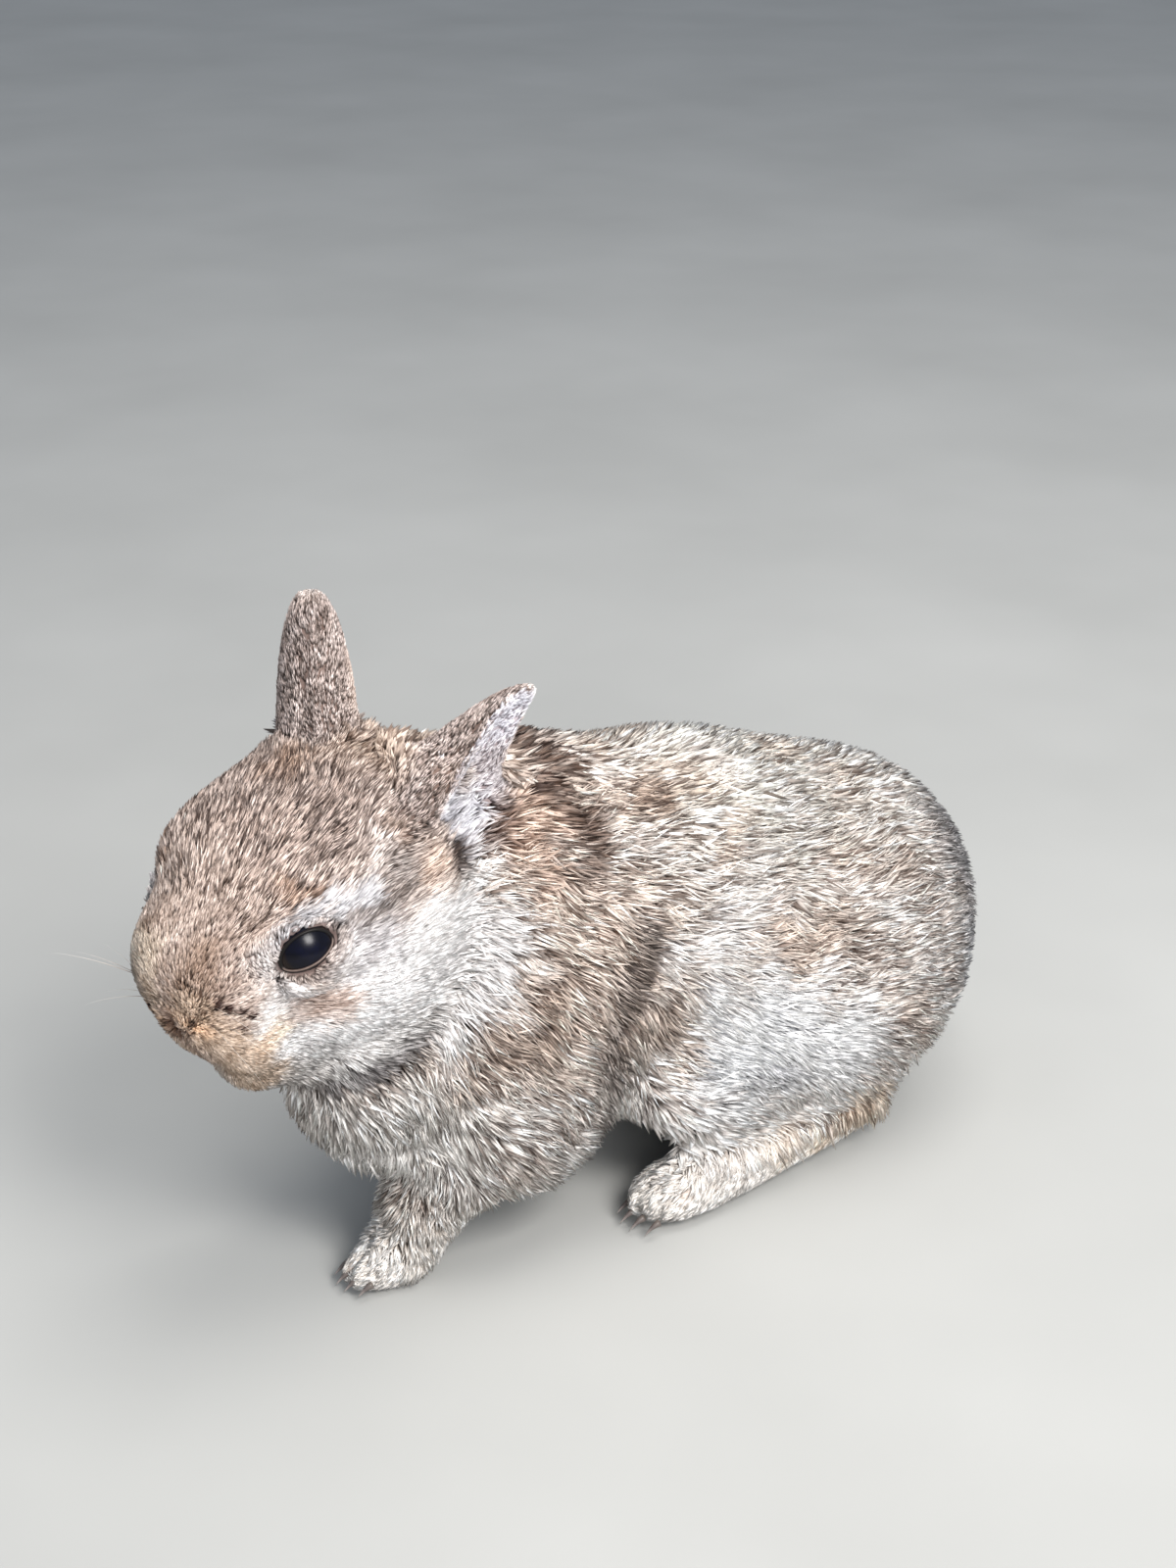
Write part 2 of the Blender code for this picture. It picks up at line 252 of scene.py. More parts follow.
def ramp(tree, source, stops):
    """A colour ramp with these (place, colour) stops, driven by a socket."""
    node = add(tree, "ValToRGB")
    elements = node.color_ramp.elements
    while len(elements) < len(stops):
        elements.new(0.5)
    for element, (place, colour) in zip(elements, stops):
        element.position = place
        element.color = (*linear(colour), 1)
    tree.links.new(source, node.inputs[0])
    return node.outputs[0]


def flecked(tree, shader, colour, grain, dark, edge, strength):
    """Gives the shader a colour that noise below the edge darkens, and noise above 1 - edge leaves alone."""
    fleck = ramp(tree, grain, [(edge, dark), (1 - edge, (1, 1, 1))])
    tree.links.new(blend_nodes(tree, "MULTIPLY", strength, colour, fleck), shader.inputs["Base Color"])


# %% Floor
FLOOR_REACH = 6000
reach = np.linspace(-FLOOR_REACH, FLOOR_REACH, 2)
corners = np.c_[np.stack(np.meshgrid(reach, reach), -1).reshape(-1, 2), np.zeros(4)]
floor = new_object("floor", new_mesh("floor", corners, np.array([[0, 1, 3, 2]])))
material, tree, shader = finish("pale floor", roughness=0.8, specular=0.2)
shade = ramp(tree, noise(tree, 9, 3), [(0.3, (0.62, 0.62, 0.61)), (0.7, (0.65, 0.65, 0.64))])
tree.links.new(shade, shader.inputs["Base Color"])
floor.data.materials.append(material)
print("floor, mm:", 2 * FLOOR_REACH)

# %% [markdown]
# ## The head's own frame
# The head is turned and bent against the body. Eyes, lids, nose, whiskers and the markings of the face are
# easier to place in a frame that turns with the head: x runs from the nose backwards, y to the rabbit's right
# and z up from the brow. The two eye solids give its origin, and the same pitch and yaw as in the solids
# give its axes. A path or place below is written for the left side, and mirrored for the right.

# %% Head frame
HEAD_PITCH, HEAD_YAW = np.radians((16.0, 18.0))
EYE_RADIUS = 6.6
EYE_PLACE = np.array([-21.2, 13.4, 3.0])
EYE_MIDDLES = {side: EYE_PLACE * (1, side, 1) for side in (-1, 1)}
EYE_NODES = {-1: "eye_left", 1: "eye_right"}
level = np.array([
    [np.cos(HEAD_PITCH), 0, -np.sin(HEAD_PITCH)], [0, 1, 0], [np.sin(HEAD_PITCH), 0, np.cos(HEAD_PITCH)]
])
heading = np.array([
    [np.cos(HEAD_YAW), -np.sin(HEAD_YAW), 0], [np.sin(HEAD_YAW), np.cos(HEAD_YAW), 0], [0, 0, 1]
])
HEAD_AXES = heading @ level
eyes = {side: np.array(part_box(node)).mean(0) / MM for side, node in EYE_NODES.items()}
HEAD_ORIGIN = (eyes[-1] + eyes[1]) / 2 - HEAD_AXES @ (EYE_PLACE * (1, 0, 1))


def from_head(points):
    """Points of the head's frame in the body's frame."""
    return np.asarray(points, float) @ HEAD_AXES.T + HEAD_ORIGIN


def in_head(points):
    """Points of the body's frame in the head's frame."""
    return (points - HEAD_ORIGIN) @ HEAD_AXES


def mirrored(vectors, side):
    """Vectors written for the left side, for the side -1 or 1."""
    return vectors * np.array([1, -side, 1])


def on_left(points):
    """Points with their right half laid over the left."""
    folded = points.copy()
    folded[:, 1] = -np.abs(folded[:, 1])
    return folded


print("head origin, mm:", HEAD_ORIGIN.round(2), "eyes in head:", in_head(eyes[-1]).round(2))

# %% [markdown]
# ## One skin
# The solids are parted by thin cuts, so that each part has its name. A living skin has no such seams. Each
# solid is swollen by a hair so that the cuts close, all are fused into one surface of small even faces,
# the flat faces of the solids are relaxed away, and the surface then sinks by the depth of the coat. A voxel
# remesh was chosen over Booleans because it also rounds the corners where the parts meet.

# %% Points of the solids
FLESH = [
    "trunk", "neck", "head", "tail", "ear_left", "ear_right", "fore_leg_left", "fore_leg_right",
    "fore_paw_left", "fore_paw_right", "hind_leg_left", "hind_leg_right", "hind_foot_left", "hind_foot_right",
]
CLOSING = 0.6
VOXEL = 0.9


def gathered(index, values, count):
    """Adds each row of values to its indexed place."""
    return np.stack([np.bincount(index, column, count) for column in values.T], 1)


def point_normals(points, faces):
    """The mean of the touching faces' normals, weighted by their areas."""
    a, b, c = points[faces].transpose(1, 0, 2)
    face = np.cross(b - a, c - a)
    return unit(sum(gathered(faces[:, k], face, len(points)) for k in range(3)))


clouds, joined_points, joined_faces, start = [], [], [], 0
for number, node in enumerate(FLESH + list(EYE_NODES.values())):
    points, faces = mesh_arrays(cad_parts[node].data)
    _, first, same = np.unique(np.round(points, 3), axis=0, return_index=True, return_inverse=True)
    points, faces = points[first], same.reshape(-1)[faces]
    clouds.append(np.c_[np.r_[points, points[faces].mean(1)], np.full(len(points) + len(faces), number)])
    joined_points.append(points + CLOSING * point_normals(points, faces))
    joined_faces.append(faces + start)
    start += len(points)
samples = np.concatenate(clouds)
print("solids:", start, "points")

# %% Fuse into one surface
swollen = new_mesh("rough_skin", np.concatenate(joined_points), np.concatenate(joined_faces))
rough = new_object("rough_skin", swollen)
remesh = rough.modifiers.new("remesh", "REMESH")
remesh.mode = "VOXEL"
remesh.voxel_size = VOXEL * MM
fused = bpy.data.meshes.new_from_object(rough.evaluated_get(bpy.context.evaluated_depsgraph_get()))
bpy.data.objects.remove(rough)
skin_points, skin_faces = mesh_arrays(fused)
bpy.data.meshes.remove(fused)
print("fused skin:", len(skin_points), "points", len(skin_faces), "triangles")


# %% Which part each point belongs to
def nearest(points, spots, block=4000):
    """Index of the nearest spot to each point: the largest p·s - |s|²/2."""
    points, spots = points.astype(np.float32), spots.astype(np.float32)
    half = (spots**2).sum(1) / 2
    return np.concatenate([
        (points[k:k + block] @ spots.T - half).argmax(1) for k in range(0, len(points), block)
    ])


def kind_of(node):
    """The node's name without its side."""
    return node.replace("_left", "").replace("_right", "")


part = samples[nearest(skin_points, samples[:, :3]), 3].astype(int)
part[part >= len(FLESH)] = FLESH.index("head")
kinds = sorted({kind_of(node) for node in FLESH})
kind = np.array([kinds.index(kind_of(node)) for node in FLESH])[part]
is_kind = {name: kind == kinds.index(name) for name in kinds}
on_foot = is_kind["fore_paw"] | is_kind["hind_foot"]
print("points by kind:", {name: int(mask.sum()) for name, mask in is_kind.items()})

# %% Relax away the flat faces
RELAX_ROUNDS, SHRINK, REGROW = 34, 0.50, 0.51
ends = np.concatenate([skin_faces[:, [0, 1]], skin_faces[:, [1, 2]], skin_faces[:, [2, 0]]])
edges = np.unique(np.sort(ends, axis=1), axis=0)
degree = np.maximum(np.bincount(edges.ravel(), minlength=len(skin_points)), 1)


def averaged(values):
    """The mean of each point's neighbours."""
    count = len(skin_points)
    columns = values.reshape(count, -1)
    total = sum(gathered(edges[:, k], columns[edges[:, 1 - k]], count) for k in (0, 1))
    return (total / degree[:, None]).reshape(values.shape)


def spread(values, rounds):
    """Blurs values over the skin, half way to the neighbours' mean each round."""
    for _ in range(rounds):
        values = (values + averaged(values)) / 2
    return values


freedom = np.select([is_kind["ear"], is_kind["head"], on_foot], [0.30, 0.75, 0.5], 1.0)
freedom = spread(freedom, 4)[:, None]
for _ in range(RELAX_ROUNDS):
    skin_points += SHRINK * freedom * (averaged(skin_points) - skin_points)
    skin_points -= REGROW * freedom * (averaged(skin_points) - skin_points)
skin_normals = point_normals(skin_points, skin_faces)
print("relaxed, box in mm:", skin_points.min(0).round(1), skin_points.max(0).round(1))

# %% [markdown]
# ## Depth of the coat
# Fur is deep on the back and haunches, short on the cheeks, and only a velvet on muzzle, ears and feet. The
# skin sinks by that depth, so that the tips of the coat come back out to the solids' outline. The muzzle and
# the rim of the eyes need the thinnest coat of all, so the depth falls off smoothly towards them.

# %% Sink the skin
COAT_DEPTH = {
    "trunk": 4.6, "neck": 4.4, "head": 2.3, "tail": 3.4, "ear": 0.75, "fore_leg": 2.6, "fore_paw": 1.4,
    "hind_leg": 4.4, "hind_foot": 1.8,
}
MUZZLE_DEPTH, MOST_EAR_DEPTH, LOWEST_SKIN = 1.3, 0.85, 0.5
depth = spread(np.array([COAT_DEPTH[name] for name in kinds])[kind], 14)
muzzle = ease(-26, -36, in_head(skin_points)[:, 0]) * is_kind["head"]
depth = over(depth, muzzle, MUZZLE_DEPTH)
depth[is_kind["ear"]] = COAT_DEPTH["ear"]
depth = spread(depth, 3)
depth[is_kind["ear"]] = np.minimum(depth[is_kind["ear"]], MOST_EAR_DEPTH)
skin_points = skin_points - (CLOSING + depth)[:, None] * spread(skin_normals, 2)
freedom = np.where(is_kind["ear"], 0.2, 0.5)[:, None]
for _ in range(6):
    skin_points += freedom * (averaged(skin_points) - skin_points)
skin_points[:, 2] = np.maximum(skin_points[:, 2], LOWEST_SKIN)
print("coat depth, mm:", depth.min().round(2), "to", depth.max().round(2))

# %% [markdown]
# ## Folds of the skin
# Loose skin creases under the jaw, behind the eye, down the flank, round the nose and between the toes. The
# creases could be sculpted by hand. Here each is a path drawn in space: points of the skin near the path are
# pushed in along their normals and points beside it come out a little, so that one formula cuts every groove.


# %% Soft shapes
def patch(points, centre, radii, soft=0.5):
    """1 in an ellipsoid's middle, falling to 0 about its surface."""
    reach = np.linalg.norm((points - np.array(centre)) / np.array(radii), axis=1)
    return 1 - ease(1 - soft, 1 + soft, reach)


def path_distance(points, path):
    """The distance of each point from a broken line."""
    path = np.asarray(path, float)
    reach = np.full(len(points), 1e9)
    for a, b in zip(path[:-1], path[1:]):
        share = np.clip((points - a) @ (b - a) / ((b - a) @ (b - a)), 0, 1)
        reach = np.minimum(reach, np.linalg.norm(points - a - share[:, None] * (b - a), axis=1))
    return reach


def stroke(points, path, width, soft=0.6):
    """1 near a broken line, falling to 0 at about this distance from it."""
    return 1 - ease(width * (1 - soft), width * (1 + soft), path_distance(points, path))


def fold(points, shade, path, width, deep, shade_reach):
    """Pushes the skin in by deep·exp(-(d/width)²) at the distance d from the path, and out by a third beside
    it. The shade keeps where the folds are, as exp(-(d/shade_reach)²)."""
    reach = path_distance(points, path)
    amount = np.exp(-((reach - 2.2 * width) / width) ** 2) / 3 - np.exp(-(reach / width) ** 2)
    points = points + deep * amount[:, None] * skin_normals
    return points, np.maximum(shade, np.exp(-(path_distance(points, path) / shade_reach) ** 2))


# %% Where the skin folds
JAW_FOLD = [
    (-23, -5, -33.5), (-22.2, -8, -32.6), (-18.6, -15.3, -30), (-13.1, -19.8, -28.9), (-8.7, -21.9, -28.8),
    (-2, -24.5, -27.5),
]
EYE_FOLD = [(-16.9, -19.8, 6.3), (-11.4, -21.6, 2.7), (-5.3, -22.3, 3.4), (-1.0, -22.5, 3.7)]
CLEFT = [(-42.0, 0, -2.5), (-41.5, 0, -6.0), (-38.5, 0, -12.0)]
NOSTRIL = [(-41.6, -5.2, -1.7), (-41.2, -4.2, -2.5), (-41.0, -2.6, -3.8)]
FLANK_FOLD = [
    (-10, -28.7, 67.7), (-14.5, -29.8, 59.5), (-17.8, -30.5, 50.2), (-15.9, -28, 32.3), (-14.5, -26, 24),
]
FOLDS = (
    # path, width, depth, and whether it is in the head's frame
    (JAW_FOLD, 1.7, 2.6, True), (EYE_FOLD, 0.9, 1.0, True), (FLANK_FOLD, 2.6, 3.0, False),
    (CLEFT, 1.3, 1.6, True), (NOSTRIL, 0.6, 0.9, True),
)
SWELLINGS = (
    # middle, radii and height of the whisker pad and the lip, in the head's frame
    ((-37.5, -7, -9), (6, 6, 8), 1.4), ((-29, -6, -22), (9, 8, 7), 1.3),
)
TOE_SPREAD = 14.0
FEET = {"fore_paw_left": 8, "fore_paw_right": 8, "hind_foot_left": 12, "hind_foot_right": 12}


def toe_row(foot):
    """Front x and lowest z of a foot, and the y of both edges of its toes, which lie at its outer side."""
    (x, y, z), (_, y_end, _) = np.array(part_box(foot)) / MM
    if foot.endswith("left"):
        return x, z, y, min(y_end, y + TOE_SPREAD)
    return x, z, max(y, y_end - TOE_SPREAD), y_end


creased = np.zeros(len(skin_points))
for side in (-1, 1):
    for centre, radii, height in SWELLINGS:
        bulge = height * patch(skin_points, from_head(mirrored(np.array(centre), side)), radii, 0.8)
        skin_points = skin_points + bulge[:, None] * skin_normals
    for path, width, deep, of_head in FOLDS:
        path = mirrored(np.array(path), side)
        path = from_head(path) if of_head else path
        skin_points, creased = fold(skin_points, creased, path, width, deep, 1.3 * width)
for foot, toe_length in FEET.items():
    x, z, y, y_end = toe_row(foot)
    for share in (0.27, 0.5, 0.73):
        path = np.array([(0.5, 0, 1), (1.5, 0, 5), (toe_length, 0, 9.5)]) + (x, y + share * (y_end - y), z)
        skin_points, creased = fold(skin_points, creased, path, 0.8, 1.1, 1.2)
print("creased points:", int((creased > 0.5).sum()))

# %% [markdown]
# ## Eye openings
# The eyelids are the head's own skin, stretched over the ball. Points of the skin round each eye are set on a
# sphere a little larger than the ball, and inside an almond shape they sink behind it, which leaves the ball
# bare. The almond is drawn on the sphere by its angles, long towards both corners and higher above than below.

# %% The almond
GAZE = unit(np.array([-0.397, -0.868, 0.298]))
CORNERS = unit(np.array([0.918, -0.379, 0.12]))
CORNERS = unit(CORNERS - GAZE * (CORNERS @ GAZE))
RISE = np.cross(CORNERS, GAZE)
RISE = RISE * np.sign(RISE[2])
HALF_LENGTH, HALF_UPPER, HALF_LOWER = np.radians((43.0, 31.0, 12.5))
MIDDLE_ALONG, MIDDLE_UP = np.radians((-4.0, 2.0))


def almond_edge(turn):
    """Angles (along, up) of the lid's edge: a cos t along, and b sin t up, with another b above than below."""
    height = np.where(np.sin(turn) > 0, HALF_UPPER, HALF_LOWER)
    return MIDDLE_ALONG + HALF_LENGTH * np.cos(turn), MIDDLE_UP + height * np.sin(turn)


def eye_angles(spots, side):
    """Angles along and up from the gaze, and the distance, of points in the head's frame."""
    arm = mirrored(spots - EYE_MIDDLES[side], side)
    a, b, g = arm @ CORNERS, arm @ RISE, arm @ GAZE
    flat, turn = np.arctan2(np.hypot(a, b), g), np.arctan2(b, a)
    return flat * np.cos(turn), flat * np.sin(turn), np.linalg.norm(arm, axis=1)


def eye_gap(along, up):
    """How many radians outside the lid's edge, seen from the almond's middle; negative inside. With r the
    distance from the middle in half-lengths and half-heights, it is the angle times 1 - 1/r."""
    height = np.where(up > MIDDLE_UP, HALF_UPPER, HALF_LOWER)
    r = np.hypot((along - MIDDLE_ALONG) / HALF_LENGTH, (up - MIDDLE_UP) / height)
    return np.hypot(along - MIDDLE_ALONG, up - MIDDLE_UP) * (1 - 1 / np.maximum(r, 1e-3))


print("eye opening, mm:", round(2 * EYE_RADIUS * np.sin(HALF_LENGTH), 1), "long")

# %% Set the lids on the ball
LID, BEHIND = 0.45, 0.9
BARE_ABOVE, BARE_BELOW, LID_START = 0.06, 0.09, 0.15


def about_eye(along, up, reach, widest, farthest):
    """Whether a place is within this many degrees of the gaze, and this near to the ball."""
    return (np.hypot(along, up) < np.radians(widest)) & (reach < EYE_RADIUS + farthest)


spots = in_head(skin_points)
near_eye = np.zeros(len(spots))
bare = np.zeros(len(spots), bool)
away_from_eye = np.zeros((len(spots), 3))
for side, middle in EYE_MIDDLES.items():
    along, up, reach = eye_angles(spots, side)
    close = about_eye(along, up, reach, widest=95, farthest=6)
    arm, gaze = unit(spots - middle), mirrored(GAZE, side)
    gap = eye_gap(along, up)
    bare |= close & (gap < np.where(up > MIDDLE_UP, BARE_ABOVE, BARE_BELOW))
    sunk = EYE_RADIUS - BEHIND + (LID + BEHIND) * ease(0.02, LID_START, gap)
    wanted = np.where(gap < LID_START, sunk, np.maximum(reach, EYE_RADIUS + LID))
    spots = np.where(close[:, None], middle + arm * wanted[:, None], spots)
    near_eye = np.maximum(near_eye, close * ease(0.75, LID_START, gap))
    away_from_eye[close] = unit(arm - gaze * (arm @ gaze)[:, None])[close]
skin_points = from_head(spots)
skin_normals = point_normals(skin_points, skin_faces)
left_lid = ease(0.6, 1.0, near_eye) * (spots[:, 1] < 0)
depth = depth * (1 - 0.2 * near_eye - 0.4 * left_lid)
print("bare points inside the eye openings:", int(bare.sum()))

# %% [markdown]
# ## Markings
# An agouti coat is banded: each hair is slate at the root, brown in the middle and cream at the tip, with dark
# guard hairs between. One set of functions gives both colours, tip and base, for any place, and the skin and
# the tufts both ask them, so that the markings agree. Each marking is a soft ellipsoid or a soft stroke
# in the frame of body or head, laid over those before it and broken up by slow waves, so that no edge is drawn
# with a ruler. Colours are in hundredths of full red, green and blue.
# Some marks are painted shade: dark lines in creases and hollows, and greyer tones low on face, chest and
# foreleg.


# %% Layers of colour
def waves(points, size, seed, terms=14):
    """Smooth noise of about unit strength: the sum of sine waves of this length in random directions."""
    dice = np.random.default_rng(seed)
    turns = unit(dice.normal(size=(terms, 3))) * 2 * np.pi / (size * dice.uniform(0.7, 1.6, (terms, 1)))
    return np.sin(points @ turns.T + dice.uniform(0, 2 * np.pi, terms)).sum(1) * (2 / terms) ** 0.5


def three_waves(points, size, seeds):
    """Waves along x, y and z, one for each seed."""
    return np.stack([waves(points, size, seed) for seed in seeds], 1)


def mark(points, strength, place, reach, tip, base, *soft):
    """A layer of one marking: a stroke where the place is a list of points, and else a patch."""
    shape = stroke if isinstance(place, list) else patch
    return strength * shape(points, place, reach, *soft), tip, base


def layered(count, layers):
    """Colours laid over each other: each layer is (share, tip colour, base colour)."""
    tip, base = np.zeros((count, 3)), np.zeros((count, 3))
    for share, over_tip, over_base in layers:
        share = np.broadcast_to(share, (count,))[:, None]
        tip = over(tip, share, np.array(over_tip) / 100)
        base = over(base, share, np.array(over_base) / 100)
    return tip, base


# %% Marks of the body
EAR_HOLLOW = [(-31, -11, 98), (-35, -16, 94.5), (-40, -21, 91)]
EAR_CUP, EAR_CUP_REACH = (-43, -15, 96), (7, 10, 9)
# Painted shade in the notch at the front of the ear's base.
EAR_NOTCH_SHADE = [(-42, -21.5, 90), (-44, -23.4, 88), (-46, -24.2, 86)]
# Painted shadow of the ear's rim: a dark brown line beside the pale hollow.
EAR_RIM_SHADOW = [(-28, -9, 98.5), (-30, -15, 94), (-36, -21, 89)]
NAPE_BAR = (42, 34, 30), (14, 10, 9)
FLANK_MARKS = [
    (0.8, (-24, -27, 66), (20, 16, 20), (96, 89, 84), (38, 31, 27)),  # shoulder
    (0.8, (-28, -18, 89), (7, 8, 11), (86, 75, 68), (44, 34, 29)),  # tan behind the left ear
    (0.8, (-27, -6, 99), (8, 8, 6), (90, 83, 78), (38, 31, 27)),  # nape
    (0.9, [(-21, -3, 98.5), (-12, -8.5, 94.5)], 4.2, *NAPE_BAR, 0.4),
    (0.9, [(-21.5, -13, 95), (-18.5, -18, 89), (-18.5, -22, 83.5)], 3.5, *NAPE_BAR, 0.4),
    (0.7, (-2, -15, 88), (7, 6, 5), (72, 62, 55), (17, 12, 11)),  # dark flecks on the back
    (0.6, (10, -13, 88), (6, 5, 4), (80, 71, 63), (22, 16, 14)),
    (0.75, (-7, -31, 57), (9, 8, 13), (84, 76, 70), (30, 24, 21)),  # ribs
    (0.9, (4, -32, 60), (12, 8, 8), (100, 99, 98), (66, 63, 62)),
    (0.7, (22, -33, 58), (13, 8, 6), (88, 80, 74), (36, 30, 27)),
    (0.95, [(10, -34, 42), (31, -37, 31)], 11, (100, 100, 100), (74, 75, 77)),  # pale thigh
    (0.8, (4, -34, 32), (10, 8, 8), (97, 98, 99), (55, 56, 58)),
    (0.6, (17, -35, 31), (7, 6, 3), (78, 78, 80), (36, 36, 38)),
    (0.75, (86, -18, 56), (18, 26, 26), (78, 77, 78), (31, 31, 32)),  # rump
    (0.7, (72, -31, 36), (8, 8, 8), (97, 97, 98), (60, 60, 61)),
    (0.9, (-45, -24, 70), (12, 8, 15), (99, 98, 98), (68, 66, 65), 0.3),  # side of the neck
    (0.8, [(-50, -22, 50), (-37, -28, 53), (-30, -27, 63)], 4, (83, 75, 69), (30, 24, 21)),
    # the chest's grey is partly its own colour and partly painted shade
    (0.7, (-56, -14, 38), (16, 20, 14), (90, 89, 87), (42, 40, 38)),  # chest
]


# %% Body markings
def body_markings(points, outward):
    """Tip and base colours of trunk, neck, legs, feet and tail. The sides match but for the ears' bases."""
    sharp = on_left(points)
    blur = on_left(points + 2.0 * three_waves(points, 9, (1, 2, 3)))
    mottle = ease(0.35, 1.3, waves(points, 17, 4))
    pale = ease(0.35, 1.3, waves(points, 14, 5))
    underside = ease(0.15, -0.75, outward[:, 2])
    return layered(len(points), [
        (1.0, (100, 96, 93), (30, 24, 21)),
        (ease(62, 84, blur[:, 2]) * ease(-15, 25, blur[:, 0]), (100, 99, 96), (37, 32, 29)),
        (0.55 * mottle, (87, 79, 73), (27, 20, 17)),
        (0.5 * pale, (99, 98, 97), (56, 52, 50)),
        *(mark(blur, *row) for row in FLANK_MARKS),
        (0.85 * underside * ease(60, 30, sharp[:, 2]), (97, 96, 95), (74, 71, 69)),
        # painted shade: the low front of the foreleg greyer
        (0.7 * ease(30, 12, blur[:, 2]) * ease(-25, -35, sharp[:, 0]), (88, 87, 85), (46, 44, 42)),
        (0.9 * ease(12, 8, blur[:, 2]), (97, 96, 94), (76, 73, 69)),
        (0.85 * ease(20, 14, sharp[:, 2]) * ease(32, 22, sharp[:, 0]), (96, 94, 92), (74, 70, 66)),
        mark(blur, 0.6, (44, -33, 11), (18, 9, 6), (88, 79, 69), (50, 42, 35)),  # heel
        mark(blur, 1, (95, 0, 27), (14, 13, 14), (80, 77, 75), (36, 33, 32)),  # top of the tail
        mark(blur, 1, (92, 0, 16), (13, 13, 9), (97, 97, 97), (80, 78, 77)),  # underside of the tail
        # painted shade in the crease down the flank
        mark(sharp, 0.6, FLANK_FOLD, 2.2, (46, 42, 40), (14, 13, 13)),
        mark(sharp, 0.9, (-46, -2, 104), (16, 14, 9), (80, 72, 66), (36, 28, 24), 0.5),  # between the ears
        mark(points, 0.9, EAR_CUP, EAR_CUP_REACH, (78, 78, 81), (66, 65, 68), 0.5),
        mark(points, 0.9, EAR_HOLLOW, 2.8, (82, 82, 85), (68, 67, 69)),
        # painted shadow of the ear's rim
        mark(points, 0.8, EAR_RIM_SHADOW, 1.3, (50, 41, 37), (24, 18, 16)),
        # painted shade in the ear's notch
        mark(points, 0.95, EAR_NOTCH_SHADE, 2.0, (32, 27, 25), (14, 11, 10)),
    ])


# %% Marks of the head
BROW = [(-26, -15.5, 8.8), (-22.5, -17.5, 11), (-16, -19.8, 8.4), (-11.5, -21.2, 5.4)]
UNDER_EYE = [(-30, -14.5, 5), (-29.5, -14.5, 1.5), (-25.5, -16.5, -1), (-20, -19.5, -1.5)]
WHISKER_PAD = [(-42, -4.3, -2.5), (-39.5, -6.4, -7.5), (-37, -7, -12.5), (-31.5, -5, -21)]
# Painted shade: a dark line just in front of the crease behind the eye.
EYE_CREASE_SHADE = [(x - 1.5, y, z) for x, y, z in EYE_FOLD]
CHEEK_MARKS = [
    (0.75, [(-31, -13.2, -4.5), (-29.5, -12.5, -15)], 3.6, (97, 96, 96), (66, 64, 63)),
    (0.85, (-24.8, -15.5, -8.7), (6.2, 6, 3.8), (77, 68, 63), (46, 37, 33)),  # tan below the eye
    (0.9, BROW, 2.2, (79, 79, 81), (60, 60, 61), 0.35),
    (0.8, [(-25.5, -14.5, 14), (-19, -17.5, 13.4)], 1.7, (74, 62, 54), (38, 29, 24)),  # above the brow
    (0.9, (-15.8, -21, -0.6), (8, 6, 5.4), (84, 83, 84), (68, 66, 66), 0.5),  # behind the eye
    (0.85, UNDER_EYE, 3.2, (87, 86, 86), (66, 64, 64)),
]


